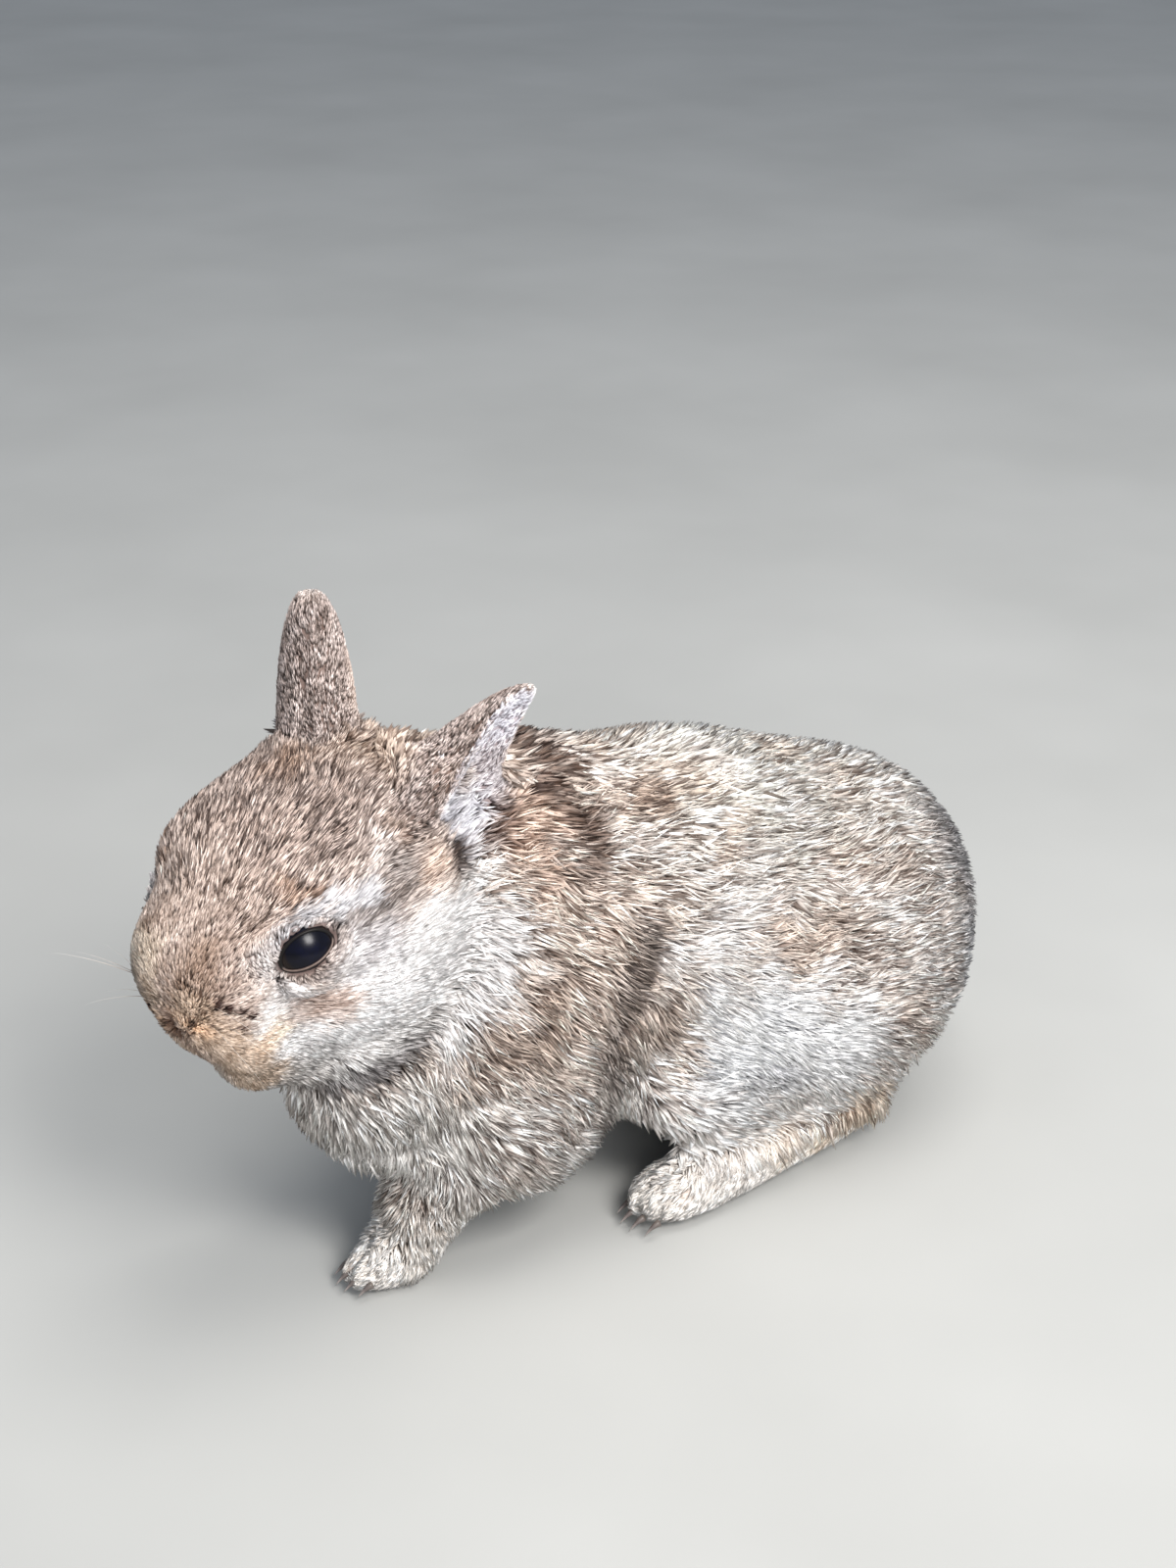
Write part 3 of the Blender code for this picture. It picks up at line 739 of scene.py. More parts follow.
# %% Head markings
def head_markings(points, outward, node):
    """Tip and base colours of the head, symmetric about its middle plane but for the far side's nose."""
    own = in_head(points)
    near_side = ease(3, 0, own[:, 1])
    h = on_left(own + 0.9 * three_waves(points, 6, (11, 12, 13)))
    own = on_left(own)
    mottle = ease(0.2, 1.4, waves(points, 7, 14))
    cheek = ease(1, -6, h[:, 2] - 0.12 * (h[:, 0] + 12)) * ease(-6, -12, h[:, 1])
    return layered(len(points), [
        (1.0, (88, 82, 79), (25, 20, 18)),
        mark(h, 0.7, (-12, -6, 22), (17, 17, 9), (80, 72, 68), (15, 11, 10)),  # forehead
        (0.4 * mottle, (80, 72, 68), (24, 20, 18)),
        mark(h, 0.8, (-3, 0, 24), (5, 4, 4), (70, 58, 50), (22, 16, 14)),  # whorl
        (ease(-18, -30, h[:, 0]), (77, 70, 66), (34, 28, 25)),
        (cheek, (99, 98, 98), (68, 66, 65)),
        # painted shade: the lower face greyer towards the jaw
        (0.8 * ease(-15, -25, h[:, 2]), (85, 84, 83), (48, 46, 45)),
        *(mark(h, *row) for row in CHEEK_MARKS),
        # painted shade along the crease behind the eye
        mark(own, 0.95, EYE_CREASE_SHADE, 1.1, (38, 34, 32), (18, 15, 14)),
        mark(h, 0.5, (-4, -21, 9), (4, 5, 8), (82, 79, 78), (42, 39, 37)),  # temple
        # the dark band beside the nose bridge is partly its own colour and partly painted shade of the hollow;
        # on the far side it is painted over in cream, so it shows on the near side only
        mark(h, 0.85, [(-37, -7, 9.5), (-40.6, -4.5, 5.5), (-41.2, -3.5, 0)], 3.8, (63, 54, 48), (31, 24, 20)),
        (0.85 * ease(-35, -39, h[:, 0]) * (1 - near_side), (93, 87, 80), (66, 57, 50)),
        mark(h, 0.9, WHISKER_PAD, 5.2, (78, 69, 61), (54, 45, 38), 0.3),
        mark(h, 0.8, (-40.6, -4.7, -4.4), (2.6, 2.6, 2.4), (95, 79, 65), (72, 55, 43)),  # below the nostril
        mark(h, 0.7, (-33, -11.6, -10.1), (2.6, 2.6, 3), (97, 84, 72), (74, 60, 49)),
        (0.8 * ease(4, 14, h[:, 0]) * ease(-10, -2, h[:, 2]), (93, 86, 80), (40, 33, 29)),
        mark(h, 0.7, (2, -23.5, 3), (4, 4, 5), (91, 81, 74), (50, 40, 34)),  # below the ear
        mark(own, 0.9, CLEFT, 0.9, (50, 40, 35), (26, 19, 17)),
        # painted shade in the ear's notch
        mark(points, 0.9, EAR_NOTCH_SHADE, 1.8, (34, 29, 27), (15, 12, 11)),
        mark(points, 0.8, (-48, 0, 106), (14, 13, 7), (82, 74, 68), (36, 28, 24)),  # between the ears
        # painted shade in the crease under the jaw
        mark(h, 0.85, JAW_FOLD, 1.7, (50, 48, 48), (18, 17, 17)),
    ])


# %% Ear frames
EAR_WAYS = {
    # from base to tip, and out of the cup's mouth
    "ear_left": ((0.74, -0.10, 0.68), (0.3, -0.9, -0.35)),
    "ear_right": ((0.14, 0.28, 0.97), (0.44, 0.76, -0.4)),
}
EAR_FRAMES = {}
for node, (axis, mouth) in EAR_WAYS.items():
    axis = unit(np.array(axis))
    mouth = unit(np.array(mouth) - axis * (np.array(mouth) @ axis))
    own = skin_points[part == FLESH.index(node)]
    root = own.mean(0) - axis * (own.mean(0) @ axis - (own @ axis).min())
    EAR_FRAMES[node] = (root, axis, mouth, float(np.ptp(own @ axis)))
    print(node, "length, mm:", round(EAR_FRAMES[node][3], 1))


# %% Ear markings
def ear_markings(points, outward, node):
    """Tip and base colours of an ear: mottled back, pale rim, grey inside. A point is inside where it faces
    the ear's heart, a line 6 mm out of the cup."""
    root, axis, mouth, length = EAR_FRAMES[node]
    arm = points - root
    rise = (arm @ axis) / length
    sideways = arm @ np.cross(mouth, axis)
    to_heart = root + axis * (arm @ axis)[:, None] + mouth * 6.0 - points
    inner = ease(-0.1, 0.35, (to_heart * outward).sum(1) / np.linalg.norm(to_heart, axis=1))
    inner = inner * ease(0.0, 0.12, rise)
    mottle = ease(-0.6, 1.0, waves(points, 5, 21))
    rim = ease(0.8, 1.0, np.abs(sideways) / 7.5) * ease(0.3, 0.5, rise)
    rear = sideways * (-1 if node == "ear_right" else 1)
    return layered(len(points), [
        (1.0, (82, 76, 74), (35, 31, 29)),
        (0.5 * mottle, (62, 55, 52), (25, 22, 20)),
        (0.8 * rim * (1 - inner), (84, 77, 73), (46, 39, 35)),
        (0.5 * ease(0.25, 0.0, rise) * (1 - inner), (84, 73, 64), (36, 28, 23)),
        (inner, (87, 87, 90), (70, 68, 71)),
        # painted shade on the inside of the ear along its rear edge
        (0.35 * inner * ease(-6.0, -7.2, rear), (68, 61, 58), (34, 28, 26)),
        (inner * ease(0.2, 0.05, rise), (58, 52, 50), (30, 25, 24)),
        (ease(0.94, 1.0, rise), (96, 92, 90), (50, 42, 38)),
    ])


# %% Markings of any point
def markings(points, outward, parts):
    """Tip and base colours for any points of the rabbit, by the part that each belongs to."""
    tip, base = body_markings(points, outward)
    for node, colours in (("head", head_markings), ("ear_left", ear_markings), ("ear_right", ear_markings)):
        own = parts == FLESH.index(node)
        tip[own], base[own] = colours(points[own], outward[own], node)
    return tip, base


tip_tint, base_tint = markings(skin_points + skin_normals * depth[:, None], skin_normals, part)
tip_tint, base_tint = spread(tip_tint, 2), spread(base_tint, 2)
calm = (0.5 * muzzle + 0.45 * near_eye * (1 - muzzle) + 0.45 * on_foot)[:, None]
base_tint = over(base_tint, calm, tip_tint)
print("tip colours:", tip_tint.min(0).round(2), tip_tint.max(0).round(2))

# %% [markdown]
# ## The lie of the coat
# Fur points away from the nose: back over the brow and cheeks, along the back, down the flanks and legs, out
# along the feet to the toes, and up the ears to their tips. A direction is written for each part and then
# blurred over the skin, which joins the parts as a real coat does.

# %% Directions on the head and trunk
WHORL_PLACE, WHORL_REACH = (-3, 0, 23), (7, 8, 6)
h = in_head(skin_points)
head_flow = unit(h - np.array([-46.0, 0.0, -6.0])) + np.array([0.5, 0, 0.12])
head_flow = head_flow * (1 - 0.5 * patch(h, WHORL_PLACE, WHORL_REACH)[:, None]) @ HEAD_AXES.T
height = np.clip(skin_points[:, 2], 0, 100)
side_view = skin_points * (1, 0, 1)
shoulder = patch(side_view, (-28, 0, 60), (26, 1, 34), 0.4) * ease(90, 66, height)
behind_arm = patch(side_view, (-13, 0, 40), (9, 1, 22), 0.5)
fall = 0.10 + 0.30 * ease(85, 50, height) + 0.55 * shoulder + 0.9 * behind_arm
outspread = 0.35 * np.sign(skin_points[:, 1]) * ease(60, 90, height)
trunk_flow = np.stack([np.ones(len(height)), outspread, -fall], 1)
chest = ease(-35, -58, skin_points[:, 0]) * ease(70, 55, height)
trunk_flow = over(trunk_flow, chest[:, None], (0.45, 0, -1.0))
print("steepest fall of the coat:", fall.max().round(2))

# %% Directions on limbs and ears
LIMB_FLOWS = {
    "fore_leg": (-0.1, 0, -1.0), "fore_paw": (-1.0, 0, -0.35), "hind_foot": (-1.0, 0, -0.3),
    "tail": (1.0, 0, 0.5),
}
flows = np.where(is_kind["head"][:, None], head_flow, trunk_flow)
for name, way in LIMB_FLOWS.items():
    flows[is_kind[name]] = way
thigh = is_kind["hind_leg"]
flows[thigh] = (1, 0, 0)
flows[thigh, 2] = -0.25 - 0.5 * ease(45, 10, height[thigh])
for node, (_, axis, _, _) in EAR_FRAMES.items():
    flows[part == FLESH.index(node)] = axis
coat_top = skin_points + 4.4 * skin_normals
hollow = np.maximum(stroke(coat_top, EAR_HOLLOW, 3.0), patch(coat_top, EAR_CUP, EAR_CUP_REACH, 0.5))
hollow = (hollow * ~is_kind["ear"])[:, None]
flows = over(flows, hollow, EAR_FRAMES["ear_left"][1])
flows += 0.13 * three_waves(skin_points, 22, (31, 32, 33))
print("mean direction by limb:", {name: flows[is_kind[name]].mean(0).round(1).tolist() for name in LIMB_FLOWS})


# %% Join the directions
def along_skin(vectors, normals):
    """The part of each vector that lies in the skin, made unit."""
    return unit(vectors - normals * (vectors * normals).sum(1, keepdims=True))


flows = along_skin(unit(flows), skin_normals)
for _ in range(10):
    flows = along_skin(averaged(flows), skin_normals)
off_eye = along_skin(away_from_eye @ HEAD_AXES.T, skin_normals)
towards = np.minimum((flows * off_eye).sum(1), 0.25)[:, None]
flows = along_skin(flows + ease(0.1, 0.7, near_eye)[:, None] * (0.35 - towards) * off_eye, skin_normals)
print("mean direction:", flows.mean(0).round(2))

# %% [markdown]
# ## How long, how thick and how dense
# The back carries strands of seven to eight millimetres in loose tufts, the forehead has four and the muzzle
# two. Each figure is set for each kind of part and blurred over the skin like the directions.

# %% Coat figures
FIGURES = {
    # length, width, tufts per mm², strands per tuft
    "trunk": (7.6, 0.32, 1.6, 4), "neck": (6.8, 0.34, 1.6, 4), "head": (3.9, 0.225, 3.6, 4),
    "tail": (7.0, 0.36, 1.5, 4), "ear": (1.9, 0.19, 4.0, 3), "fore_leg": (4.6, 0.30, 1.8, 4),
    "fore_paw": (3.4, 0.24, 2.6, 4), "hind_leg": (7.2, 0.33, 1.55, 4), "hind_foot": (4.4, 0.25, 2.3, 4),
}
MOST_EAR_LENGTH = 2.2
length, width, density, per_tuft = np.array([FIGURES[name] for name in kinds])[kind].T
length, width = spread(length, 12), spread(width, 8)
cheeks = is_kind["head"] * ease(-16, 2, h[:, 0]) * ease(8, -6, h[:, 2])
crown = patch(skin_points, (-47, 0, 103), (15, 14, 9), 0.5)
length = length * (1 + 0.7 * cheeks)
length = np.where(is_kind["head"], length * (1 - 0.45 * muzzle) * (1 - 0.62 * near_eye), length)
length = length * (1 - 0.3 * creased) * (1 - 0.6 * hollow[:, 0]) * (1 - 0.5 * crown)
length[is_kind["ear"]] = np.minimum(length[is_kind["ear"]], MOST_EAR_LENGTH)
width = width * (1 - 0.35 * muzzle) * (1 - 0.15 * cheeks)
density = density * (1 + 0.7 * muzzle) * (1 + 0.5 * near_eye) * (1 + 0.25 * cheeks)
sole = (skin_points[:, 2] < 2.2) & (skin_normals[:, 2] < -0.6)
belly = (skin_normals[:, 2] < -0.3) & (is_kind["trunk"] | is_kind["hind_leg"])
density = density * ~bare * np.where(sole, 0.5, 1.0) * np.where(belly, 0.6, 1.0)
print("coat length, mm:", length.min().round(1), "to", length.max().round(1))

# %% [markdown]
# ## The skin's own finish
# The skin shows between the strands, as the short wool under a coat does. It takes the same markings, nearer
# to their base colour, with grains of lighter and darker wool and a slight bump. An image could carry such a
# pattern, but a colour stored at each point needs no unwrap and stays with the shape.

# %% Skin piece
material, tree, shader = finish("short_fur_skin", roughness=0.85, specular=0.2)
grain = noise(tree, 900, 3)
flecked(tree, shader, stored(tree, "tint", "Color"), grain, dark=(0.80, 0.78, 0.76), edge=0.3, strength=0.8)
bump = add(tree, "Bump")
bump.inputs["Distance"].default_value = 0.3 * MM
bump.inputs["Strength"].default_value = 0.6
tree.links.new(grain, bump.inputs["Height"])
tree.links.new(bump.outputs[0], shader.inputs["Normal"])
skin_tint = 0.75 * base_tint + 0.25 * tip_tint * (1, 0.9, 0.88)
skin_tint = over(skin_tint, 0.75 * ease(0.85, 1.0, near_eye)[:, None], (0.30, 0.25, 0.24))
skin = add_piece("skin", skin_points, skin_faces, material, "trunk", tint=linear(skin_tint))
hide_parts(*FLESH)

# %% [markdown]
# ## Eyes
# A rabbit's eye is nearly all dark: a wide pupil in a dark brown iris under a bulging clear cornea. A clear
# shell over an iris would be truer, but one closed ball is simpler and looks the same at this size. It is a
# sphere with a smooth bump over the iris, coloured by the angle from the pupil, which looks a little above
# the gaze. It is wet, but its gloss is kept soft: a mirror would show square panels instead of a cloudy sky.


# %% Eyeballs
def on_ball(along, up, lift=0.0):
    """Places over the left ball at these angles from the gaze, this far above its surface, whose radius is
    R + 0.35 exp(-(angle/0.75)²)."""
    angle = np.maximum(np.hypot(along, up), 1e-9)
    steps = np.stack([np.cos(angle), np.sin(angle) / angle * along, np.sin(angle) / angle * up], -1)
    arm = steps @ np.stack([GAZE, CORNERS, RISE])
    return (EYE_RADIUS + 0.35 * np.exp(-(angle / 0.75) ** 2) + lift)[..., None] * arm


def set_in_head(points, side):
    """Places of the left eye's frame as points of this side's eye, in the body's frame."""
    return from_head(EYE_MIDDLES[side] + mirrored(points.reshape(-1, 3), side))


def eyeball(rings=48, spokes=72):
    """Rings of equal angle about the gaze, between a pole at the gaze and one behind."""
    angle = np.linspace(0, np.pi, rings)[1:-1, None]
    turn = np.arange(spokes) * 2 * np.pi / spokes
    ball = on_ball(angle * np.cos(turn), angle * np.sin(turn)).reshape(-1, 3)
    poles = on_ball(np.array([0, np.pi]), np.zeros(2))
    return np.r_[ball, poles], capped_faces(rings - 2, spokes)


material, tree, shader = finish("dark_eye", roughness=0.26, specular=0.5)
shader.inputs["IOR"].default_value = 1.34
# The pupil is near black with a navy tint, a painted reflection of the sky; the brown iris is the eye's own
# colour.
iris = ramp(tree, stored(tree, "angle"), [
    (0.0, (0.02, 0.035, 0.11)), (0.60, (0.03, 0.03, 0.08)), (0.68, (0.11, 0.08, 0.07)),
    (0.82, (0.14, 0.10, 0.09)), (0.88, (0.10, 0.08, 0.08)), (1.0, (0.30, 0.27, 0.27)),
])
flecked(tree, shader, iris, noise(tree, 700, 4), dark=(0.55, 0.5, 0.5), edge=0.35, strength=0.7)
PUPIL = unit(GAZE + 0.18 * RISE)
places, faces = eyeball()
from_pupil = np.arccos(np.clip(unit(places) @ PUPIL, -1, 1))
for side, node in EYE_NODES.items():
    points = set_in_head(places, side)
    ball = add_piece(node + "_ball", points, facing_out(points, faces), material, node, angle=from_pupil)
    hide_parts(node)

# %% [markdown]
# ## Eyelids
# The rim of each lid is a soft roll that touches the ball. It is a closed tube: a small profile carried round
# the almond. Its inner wall lies on the ball, its crest stands a third of a millimetre proud, and its outer
# foot goes under the skin of the lid. A rolled edge in the skin itself would need far smaller faces there.
# Colour goes by the place on the profile: dark at the ball, thinly paler on the lower lid, then dark brown.

# %% Lid rims
LID_PROFILE = np.array([
    # outward angle, and millimetres over the ball
    [-0.02, -0.30], [-0.01, 0.06], [0.01, 0.20], [0.04, 0.30], [0.08, 0.34], [0.12, 0.32], [0.15, 0.24],
    [0.18, 0.05], [0.18, -0.35], [0.08, -0.50],
])


def lid_rim(around=120):
    """The lid's profile carried round the almond's edge, square to it in the plane of angles."""
    turn = np.arange(around) * 2 * np.pi / around
    along, up = almond_edge(turn)
    step = np.stack([np.roll(along, -1) - np.roll(along, 1), np.roll(up, -1) - np.roll(up, 1)], 1)
    out = unit(np.stack([step[:, 1], -step[:, 0]], 1))
    thick = (0.66 - 0.22 * np.maximum(np.sin(turn), 0))[:, None]
    along = along[:, None] + out[:, :1] * LID_PROFILE[:, 0] * thick
    up = up[:, None] + out[:, 1:] * LID_PROFILE[:, 0] * thick
    place = np.tile(np.linspace(0, 1, len(LID_PROFILE)), around)
    lower = np.repeat(ease(0.1, -0.3, np.sin(turn)), len(LID_PROFILE))
    return on_ball(along, up, LID_PROFILE[:, 1]), place, lower


material, tree, shader = finish("lid_rim", roughness=0.5, specular=0.3)
upper_line = ramp(tree, stored(tree, "place"), [
    (0.0, (0.05, 0.04, 0.04)), (0.30, (0.07, 0.06, 0.06)), (0.5, (0.10, 0.08, 0.07)),
    (0.72, (0.16, 0.13, 0.12)),
])
lower_line = ramp(tree, stored(tree, "place"), [
    (0.10, (0.08, 0.06, 0.06)), (0.20, (0.30, 0.25, 0.23)), (0.28, (0.46, 0.40, 0.37)),
    (0.35, (0.32, 0.27, 0.25)), (0.44, (0.10, 0.08, 0.08)), (0.66, (0.12, 0.10, 0.10)),
])
line = blend_nodes(tree, "MIX", stored(tree, "lower"), upper_line, lower_line)
flecked(tree, shader, line, noise(tree, 1500, 2), dark=(0.8, 0.8, 0.8), edge=0.35, strength=0.6)
places, place, lower = lid_rim()
faces = ring_faces(*places.shape[:2], wrap_rows=True)
for side, node in EYE_NODES.items():
    points = set_in_head(places, side)
    add_piece(node + "_lid_rim", points, facing_out(points, faces), material, "head", place=place, lower=lower)

# %% [markdown]
# ## Whiskers and claws
# A whisker is a single stiff hair, thick at its root and bowed by its own weight. A claw is a small horn cone
# that bends down out of the toe's fur. Both are closed tubes of shrinking rings along a curve, so that one
# function makes them, many at a time.


# %% Bent cones
def bent_cones(roots, ways, sag, sizes, radius, rings, sides):
    """For each cone: centre = root + way·s·t + sag·s·t², ring radius = radius·(1 - t), for t from 0 to 1."""
    t = np.linspace(0, 1, rings + 1)[None, :, None]
    size = sizes[:, None, None]
    centre = roots[:, None] + ways[:, None] * size * t + np.array(sag) * size * t**2
    across = unit(np.cross(ways, (0.3, 0.2, 1.0)))
    upward = unit(np.cross(across, ways))[:, None, None]
    turn = (np.arange(sides) * 2 * np.pi / sides)[None, None, :, None]
    ring = across[:, None, None] * np.cos(turn) + upward * np.sin(turn)
    ring = centre[:, :-1, None] + radius * (1 - t[:, :-1, None]) * ring
    points = np.concatenate([ring.reshape(len(roots), -1, 3), centre[:, :1], centre[:, -1:]], 1)
    faces = np.arange(len(roots))[:, None, None] * points.shape[1] + capped_faces(rings, sides)
    points, faces = points.reshape(-1, 3), faces.reshape(-1, 3)
    share = np.r_[np.repeat(t[0, :-1, 0], sides), 0, 1]
    return points, facing_out(points, faces), np.tile(share, len(roots))


def tapered_finish(name, roughness, specular, stops):
    """A finish whose colour goes from root to tip."""
    material, tree, shader = finish(name, roughness, specular)
    tree.links.new(ramp(tree, stored(tree, "along"), stops), shader.inputs["Base Color"])
    return material


# %% Whiskers
WHISKER_ROOTS = np.array([
    (-39.3, -9.6, 2.4), (-38.2, -10.8, 1.2), (-36.2, -12.0, -0.8), (-35.0, -12.4, -3.0),
    (-39.6, -7.6, -2.0), (-38.2, -9.2, -2.9), (-36.6, -10.6, -4.6),
])
WHISKER_WAYS = unit(np.array([
    (-0.25, -1, 0.30), (-0.05, -1, 0.15), (0.25, -1, 0.05), (0.45, -1, -0.1),
    (-0.35, -1, -0.05), (0.0, -1, -0.2), (0.3, -1, -0.35),
]))
WHISKER_RADIUS = 0.06
material = tapered_finish("whisker", 0.35, 0.4, [
    (0.0, (0.40, 0.33, 0.29)), (0.3, (0.74, 0.70, 0.66)), (1.0, (0.90, 0.88, 0.86)),
])
for side, side_name in ((-1, "left"), (1, "right")):
    roots = from_head(mirrored(WHISKER_ROOTS, side))
    ways = mirrored(WHISKER_WAYS, side) @ HEAD_AXES.T
    sizes = rng.uniform(13, 20, len(roots))
    points, faces, along = bent_cones(roots, ways, (0.12, 0, -0.22), sizes, WHISKER_RADIUS, rings=7, sides=4)
    add_piece("whiskers_" + side_name, points, faces, material, "head", along=along)

# %% Claws
CLAW_RADIUS, CLAW_HEIGHT = 0.8, 3.6
material = tapered_finish("claw_horn", 0.35, 0.5, [
    (0.0, (0.36, 0.33, 0.31)), (0.5, (0.32, 0.29, 0.28)), (1.0, (0.55, 0.52, 0.50)),
])
for foot in FEET:
    x, _, y, y_end = toe_row(foot)
    toes = y + np.array([0.18, 0.4, 0.62, 0.84]) * (y_end - y)
    roots = np.c_[x + np.array([3.0, 1.6, 1.6, 3.0]), toes, np.full(4, CLAW_HEIGHT)]
    ways = np.tile(unit(np.array([-1, 0, -0.12])), (4, 1))
    sizes = np.full(4, 3.6 if foot.startswith("hind") else 3.2)
    points, faces, along = bent_cones(roots, ways, (0, 0, -0.42), sizes, CLAW_RADIUS, rings=6, sides=8)
    add_piece("claws_" + foot, points, faces, material, foot, along=along)

# %% [markdown]
# ## The coat
# Each tuft is three or four strands that grow from almost one spot and lean together at their tips. A strand
# is the simplest closed shape that can bend: a point at the root, two points side by side where it turns over,
# and a point at the tip, four triangles in all. Hair curves would look as good here but are lost when the
# model is exported, so the strands are mesh. Bend and tip are laid on the skin by Shrinkwrap, then lifted by
# their height in the coat, so that no strand dives through a fold.

# %% Sow the tufts
corners = skin_points[skin_faces]
area = np.linalg.norm(np.cross(corners[:, 1] - corners[:, 0], corners[:, 2] - corners[:, 0]), axis=1) / 2
tufts_on = rng.poisson(area * density[skin_faces].mean(1) * (density[skin_faces].min(1) > 0))
face = np.repeat(np.arange(len(skin_faces)), tufts_on)
share = rng.random((len(face), 2))
share = np.where(share.sum(1, keepdims=True) > 1, 1 - share, share)
share = np.c_[1 - share.sum(1), share]


def on_faces(values):
    """A skin value at each tuft's root, blended from its triangle's corners."""
    picked = values[skin_faces[face]]
    return (picked * (share if picked.ndim == 2 else share[..., None])).sum(1)


tuft = {
    "root": on_faces(skin_points), "up": unit(on_faces(skin_normals)), "flow": unit(on_faces(flows)),
    "length": on_faces(length), "width": on_faces(width), "depth": on_faces(depth),
    "tip": on_faces(tip_tint), "base": on_faces(base_tint),
}
tuft_part = part[skin_faces[face, 0]]
strands = per_tuft[skin_faces[face, 0]].astype(int)
print("tufts:", len(face), "strands:", strands.sum(), "skin area, mm²:", area.sum().round())

# %% Dark whisker roots and nostrils
half_way = tuft["flow"] * 0.5 * tuft["length"][:, None]
spot = on_left(in_head(tuft["root"] + tuft["up"] * tuft["depth"][:, None] + half_way))
from_roots = np.linalg.norm(spot[:, None] - WHISKER_ROOTS, axis=2)
dots = 1 - ease(0.5, 1.2, from_roots.min(1))
dots = np.maximum(dots, stroke(spot, NOSTRIL, 0.55))[:, None]
tuft["tip"] = over(tuft["tip"], dots, (0.24, 0.16, 0.14))
tuft["base"] = over(tuft["base"], dots, (0.14, 0.10, 0.09))
print("tufts in the dark dots:", int((dots > 0.5).sum()))


# %% Lay out the strands
def node_is(*starts):
    """Whether each tuft's node has a name that starts so."""
    return np.isin(tuft_part, [k for k, node in enumerate(FLESH) if node.startswith(starts)])


def swung(flow, up, angle):
    """A direction turned by this angle about the skin's normal."""
    return flow * np.cos(angle)[:, None] + np.cross(up, flow) * np.sin(angle)[:, None]


TUFT_SWING, STRAND_SWING = np.radians((11, 8))
SCATTER = 0.075
UNDER_SHARE = 0.35
BEND_SHARE = 0.42
count_of_tufts = len(face)
ruffle = np.where(node_is("head", "ear"), 0.5, 1.0)
angle = ruffle * (TUFT_SWING * rng.normal(size=count_of_tufts) + TUFT_SWING * waves(tuft["root"], 7, 41))
tuft["flow"] = swung(tuft["flow"], tuft["up"], angle)
tuft["length"] = tuft["length"] * rng.uniform(0.8, 1.15, count_of_tufts)
tuft["end"] = tuft["root"] + tuft["flow"] * tuft["length"][:, None]

of_tuft = np.repeat(np.arange(count_of_tufts), strands)
count = len(of_tuft)
up, flow, stem = tuft["up"][of_tuft], tuft["flow"][of_tuft], tuft["length"][of_tuft]
scatter = SCATTER * stem[:, None] * rng.normal(size=(count, 2))
root = tuft["root"][of_tuft] + flow * scatter[:, :1] + np.cross(up, flow) * scatter[:, 1:]
flow = swung(flow, up, ruffle[of_tuft] * STRAND_SWING * rng.normal(size=count))
under_layer = rng.random(count) < UNDER_SHARE
stem = stem * rng.uniform(0.75, 1.1, count) * np.where(under_layer, 0.8, 1.0)
bend = root + flow * (BEND_SHARE * stem)[:, None]
gather = rng.uniform(0.35, 0.75, count)[:, None]
end = over(root + flow * stem[:, None], gather, tuft["end"][of_tuft])
print("strands:", count, "of the under layer:", int(under_layer.sum()))


# %% Lay them on the skin
def laid_on_skin(points, lift=0.0):
    """The nearest place on the skin for each point, or this far above it."""
    mesh = new_mesh("spots", points, np.zeros((0, 3), int))
    spots = new_object("spots", mesh)
    wrap = spots.modifiers.new("wrap", "SHRINKWRAP")
    wrap.target = skin
    wrap.wrap_method = "NEAREST_SURFACEPOINT"
    wrap.wrap_mode = "ABOVE_SURFACE" if lift else "ON_SURFACE"
    wrap.offset = lift * MM
    found, _ = mesh_arrays(spots.evaluated_get(bpy.context.evaluated_depsgraph_get()).data)
    bpy.data.objects.remove(spots)
    bpy.data.meshes.remove(mesh)
    return found


LOWEST_TIP, LOWEST_BEND = 0.12, 0.42
ROOT_SINK = 0.3
ground = laid_on_skin(np.concatenate([bend, end]))
above = laid_on_skin(np.concatenate([bend, end]), 1.0)
out_way = unit(above - ground)
low_share = rng.uniform(0.35, 0.7, count)
high_share = rng.uniform(0.65, 0.95 + 0.3 * ruffle[of_tuft])
tip_height = tuft["depth"][of_tuft] * np.where(under_layer, low_share, high_share)
tip_height = tip_height * np.where(node_is("fore_paw", "hind_foot"), 0.7, 1.0)[of_tuft]
bend_height = tip_height * rng.uniform(0.55, 0.75, count)
bend = ground[:count] + out_way[:count] * bend_height[:, None]
end = ground[count:] + out_way[count:] * tip_height[:, None]
root = root - up * ROOT_SINK
bend[:, 2] = np.maximum(bend[:, 2], LOWEST_BEND)
end[:, 2] = np.maximum(end[:, 2], LOWEST_TIP)
print("strands laid:", count)

# %% Keep the eyes clear
LEAST_GAP = 0.05
clear = np.ones(count, bool)
for side in EYE_MIDDLES:
    for places in (bend, end):
        along, rise, reach = eye_angles(in_head(places), side)
        close = about_eye(along, rise, reach, widest=80, farthest=8)
        clear &= ~(close & (eye_gap(along, rise) < LEAST_GAP))
print("strands that would have crossed an eye:", int((~clear).sum()))

# %% Strand geometry
half_width = tuft["width"][of_tuft] * rng.uniform(0.8, 1.2, count) / 2
across = unit(np.cross(out_way[:count], end - root)) * half_width[:, None]
strand_points = np.stack([root, bend + across, bend - across, end], 1)
STRAND_FACES = np.array([[0, 2, 1], [1, 2, 3], [0, 1, 3], [0, 3, 2]])
ALONG = np.array([0.0, 0.45, 0.45, 1.0])
print("mean strand width, mm:", round(2 * half_width.mean(), 2))

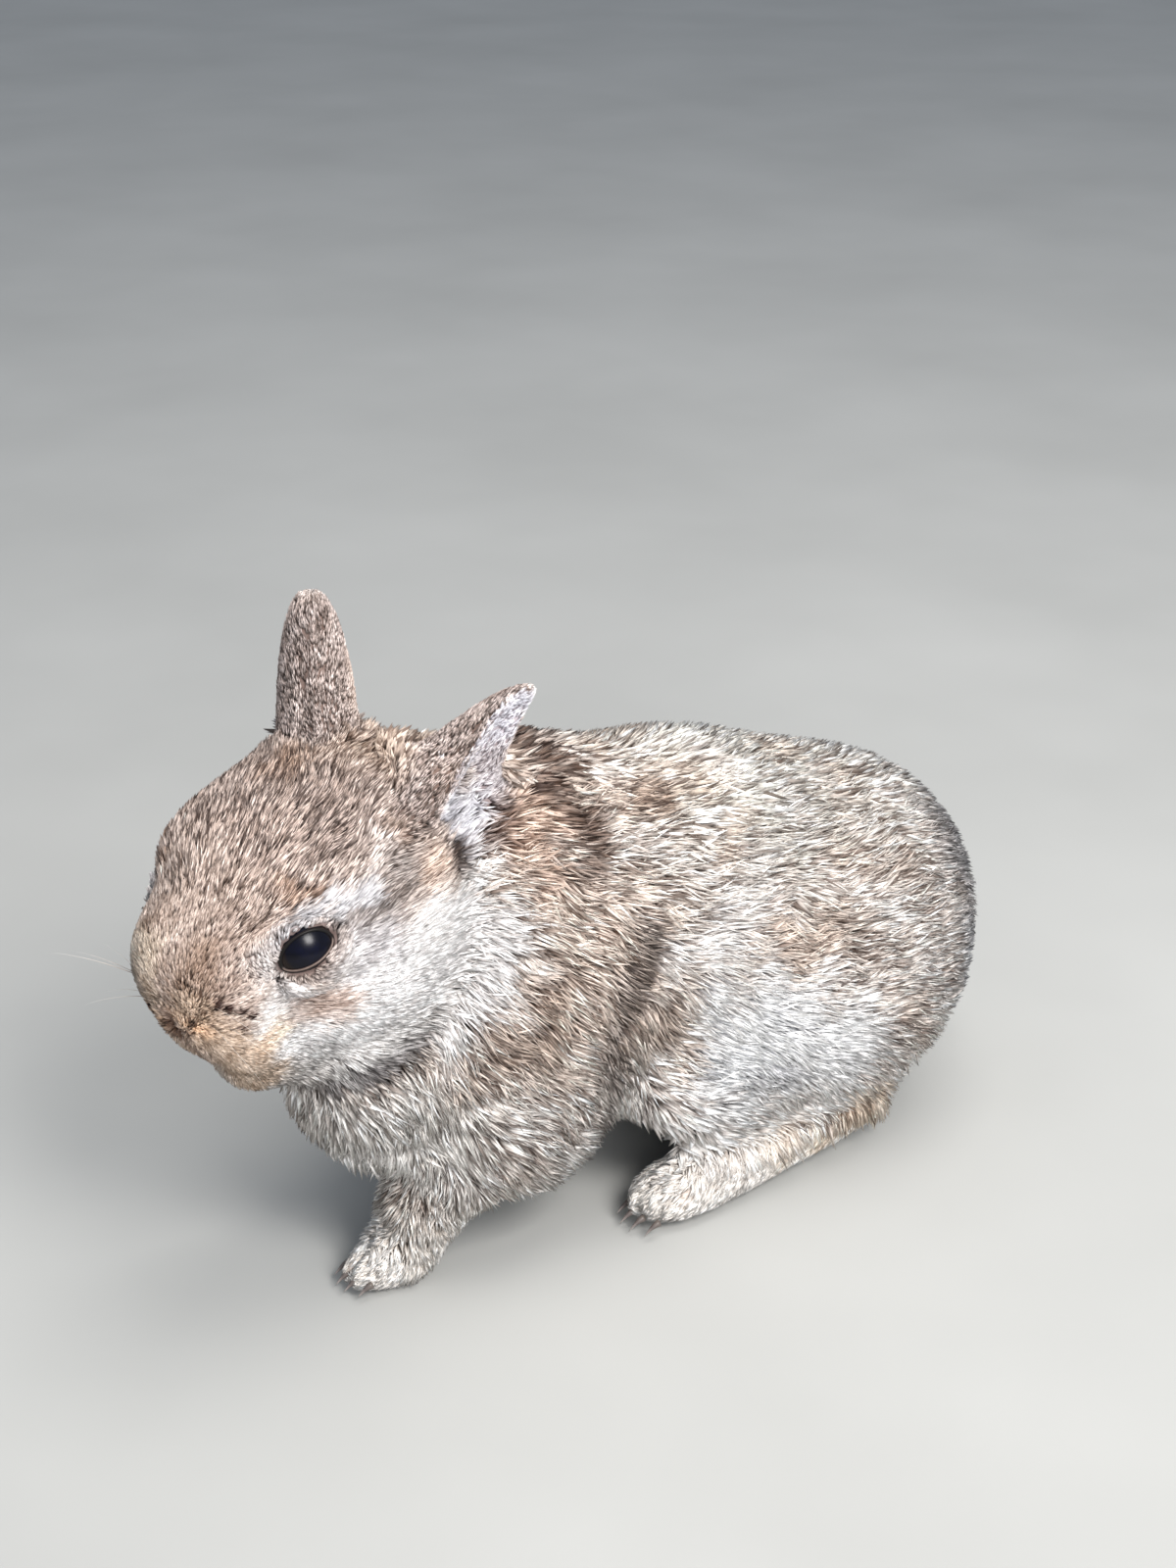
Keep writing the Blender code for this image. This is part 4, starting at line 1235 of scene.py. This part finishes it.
# %% [markdown]
# ## Colour of each strand
# A strand takes the marking at its root, and then its own chance: most end pale, some are brown throughout and
# a few are dark guard hairs. Strands of the under layer stay darker, which gives the deep lines between tufts.

# %% Strand colours
DARK_BLEND, BROWN_BLEND = 0.7, 0.38
clump = 0.05 * rng.normal(size=count_of_tufts) + 0.045 * waves(tuft["root"], 3.2, 42)
tone = (0.035 * rng.normal(size=count) + clump[of_tuft])[:, None]
luck = rng.random(count)[:, None]
tip_colour = tuft["tip"][of_tuft] + tone
base_colour = 0.9 * tuft["base"][of_tuft] + 0.7 * tone
pale_share = 0.62 + 0.55 * tuft["base"][of_tuft].mean(1, keepdims=True)
dark = (luck > pale_share) | (under_layer[:, None] & (luck > 0.35))
brown = (luck < 0.22) & ~dark
tip_colour = over(tip_colour, np.where(dark, DARK_BLEND, np.where(brown, BROWN_BLEND, 0.0)), base_colour)
tip_colour, base_colour = linear(tip_colour), linear(base_colour)
print("dark strands:", int(dark.sum()), "brown strands:", int(brown.sum()))

# %% Coat material
coat_material, tree, shader = finish("coat", roughness=0.62, specular=0.25)
banding = add(tree, "MapRange", interpolation_type="SMOOTHSTEP")
banding.inputs["From Min"].default_value = 0.28
banding.inputs["From Max"].default_value = 0.8
tree.links.new(stored(tree, "along"), banding.inputs["Value"])
colours = stored(tree, "base", "Color"), stored(tree, "tip", "Color")
banded = blend_nodes(tree, "MIX", banding.outputs[0], *colours)
flecked(tree, shader, banded, noise(tree, 2500, 2), dark=(0.86, 0.85, 0.84), edge=0.3, strength=0.8)


# %% One piece of the coat
def unwrap(points):
    """Where each root lies on an unwrap of its piece: the angle about the piece's own long axis, and the place
    along that axis, each stretched to fill the square."""
    middle = points.mean(0)
    _, _, axes = np.linalg.svd((points - middle)[:: max(1, len(points) // 4000)], full_matrices=False)
    a, b, c = ((points - middle) @ axes.T).T
    flat = np.stack([np.arctan2(c, b), a], 1)
    return 0.004 + 0.988 * (flat - flat.min(0)) / np.ptp(flat, axis=0)


def coat_piece(name, chosen, slot_name):
    """One mesh of all the chosen strands, each with a small patch of the unwrap at its root's place."""
    number = int(chosen.sum())
    points = strand_points[chosen].reshape(-1, 3)
    faces = (np.arange(number)[:, None, None] * 4 + STRAND_FACES).reshape(-1, 3)
    made = add_piece(
        name, points, faces, coat_material, slot_name, tip=np.repeat(tip_colour[chosen], 4, axis=0),
        base=np.repeat(base_colour[chosen], 4, axis=0), along=np.tile(ALONG, number),
    )
    patches = unwrap(root[chosen])[:, None] + 0.0015 * np.array([[0, -1], [-1, -0.1], [1, -0.1], [0, 1]])
    chart = made.data.uv_layers.new(name="OFBake")
    chart.data.foreach_set("uv", patches.reshape(-1, 2)[faces.ravel()].astype(np.float32).ravel())


# %% Coat pieces
for node in FLESH:
    own = (tuft_part[of_tuft] == FLESH.index(node)) & clear
    if node not in ("trunk", "head", "neck"):
        coat_piece("coat_" + node, own, node)
        continue
    spots = in_head(root) if node == "head" else root
    cuts = np.quantile(spots[own, 0], [1 / 3, 2 / 3]) if node != "neck" else []
    zone = np.searchsorted(cuts, spots[:, 0])
    for band, label in enumerate(("front", "middle", "rear")[: len(cuts) + 1]):
        for side_name, on_side in (("left", spots[:, 1] < 0), ("right", spots[:, 1] >= 0)):
            coat_piece(f"coat_{node}_{label}_{side_name}", own & on_side & (zone == band), node)
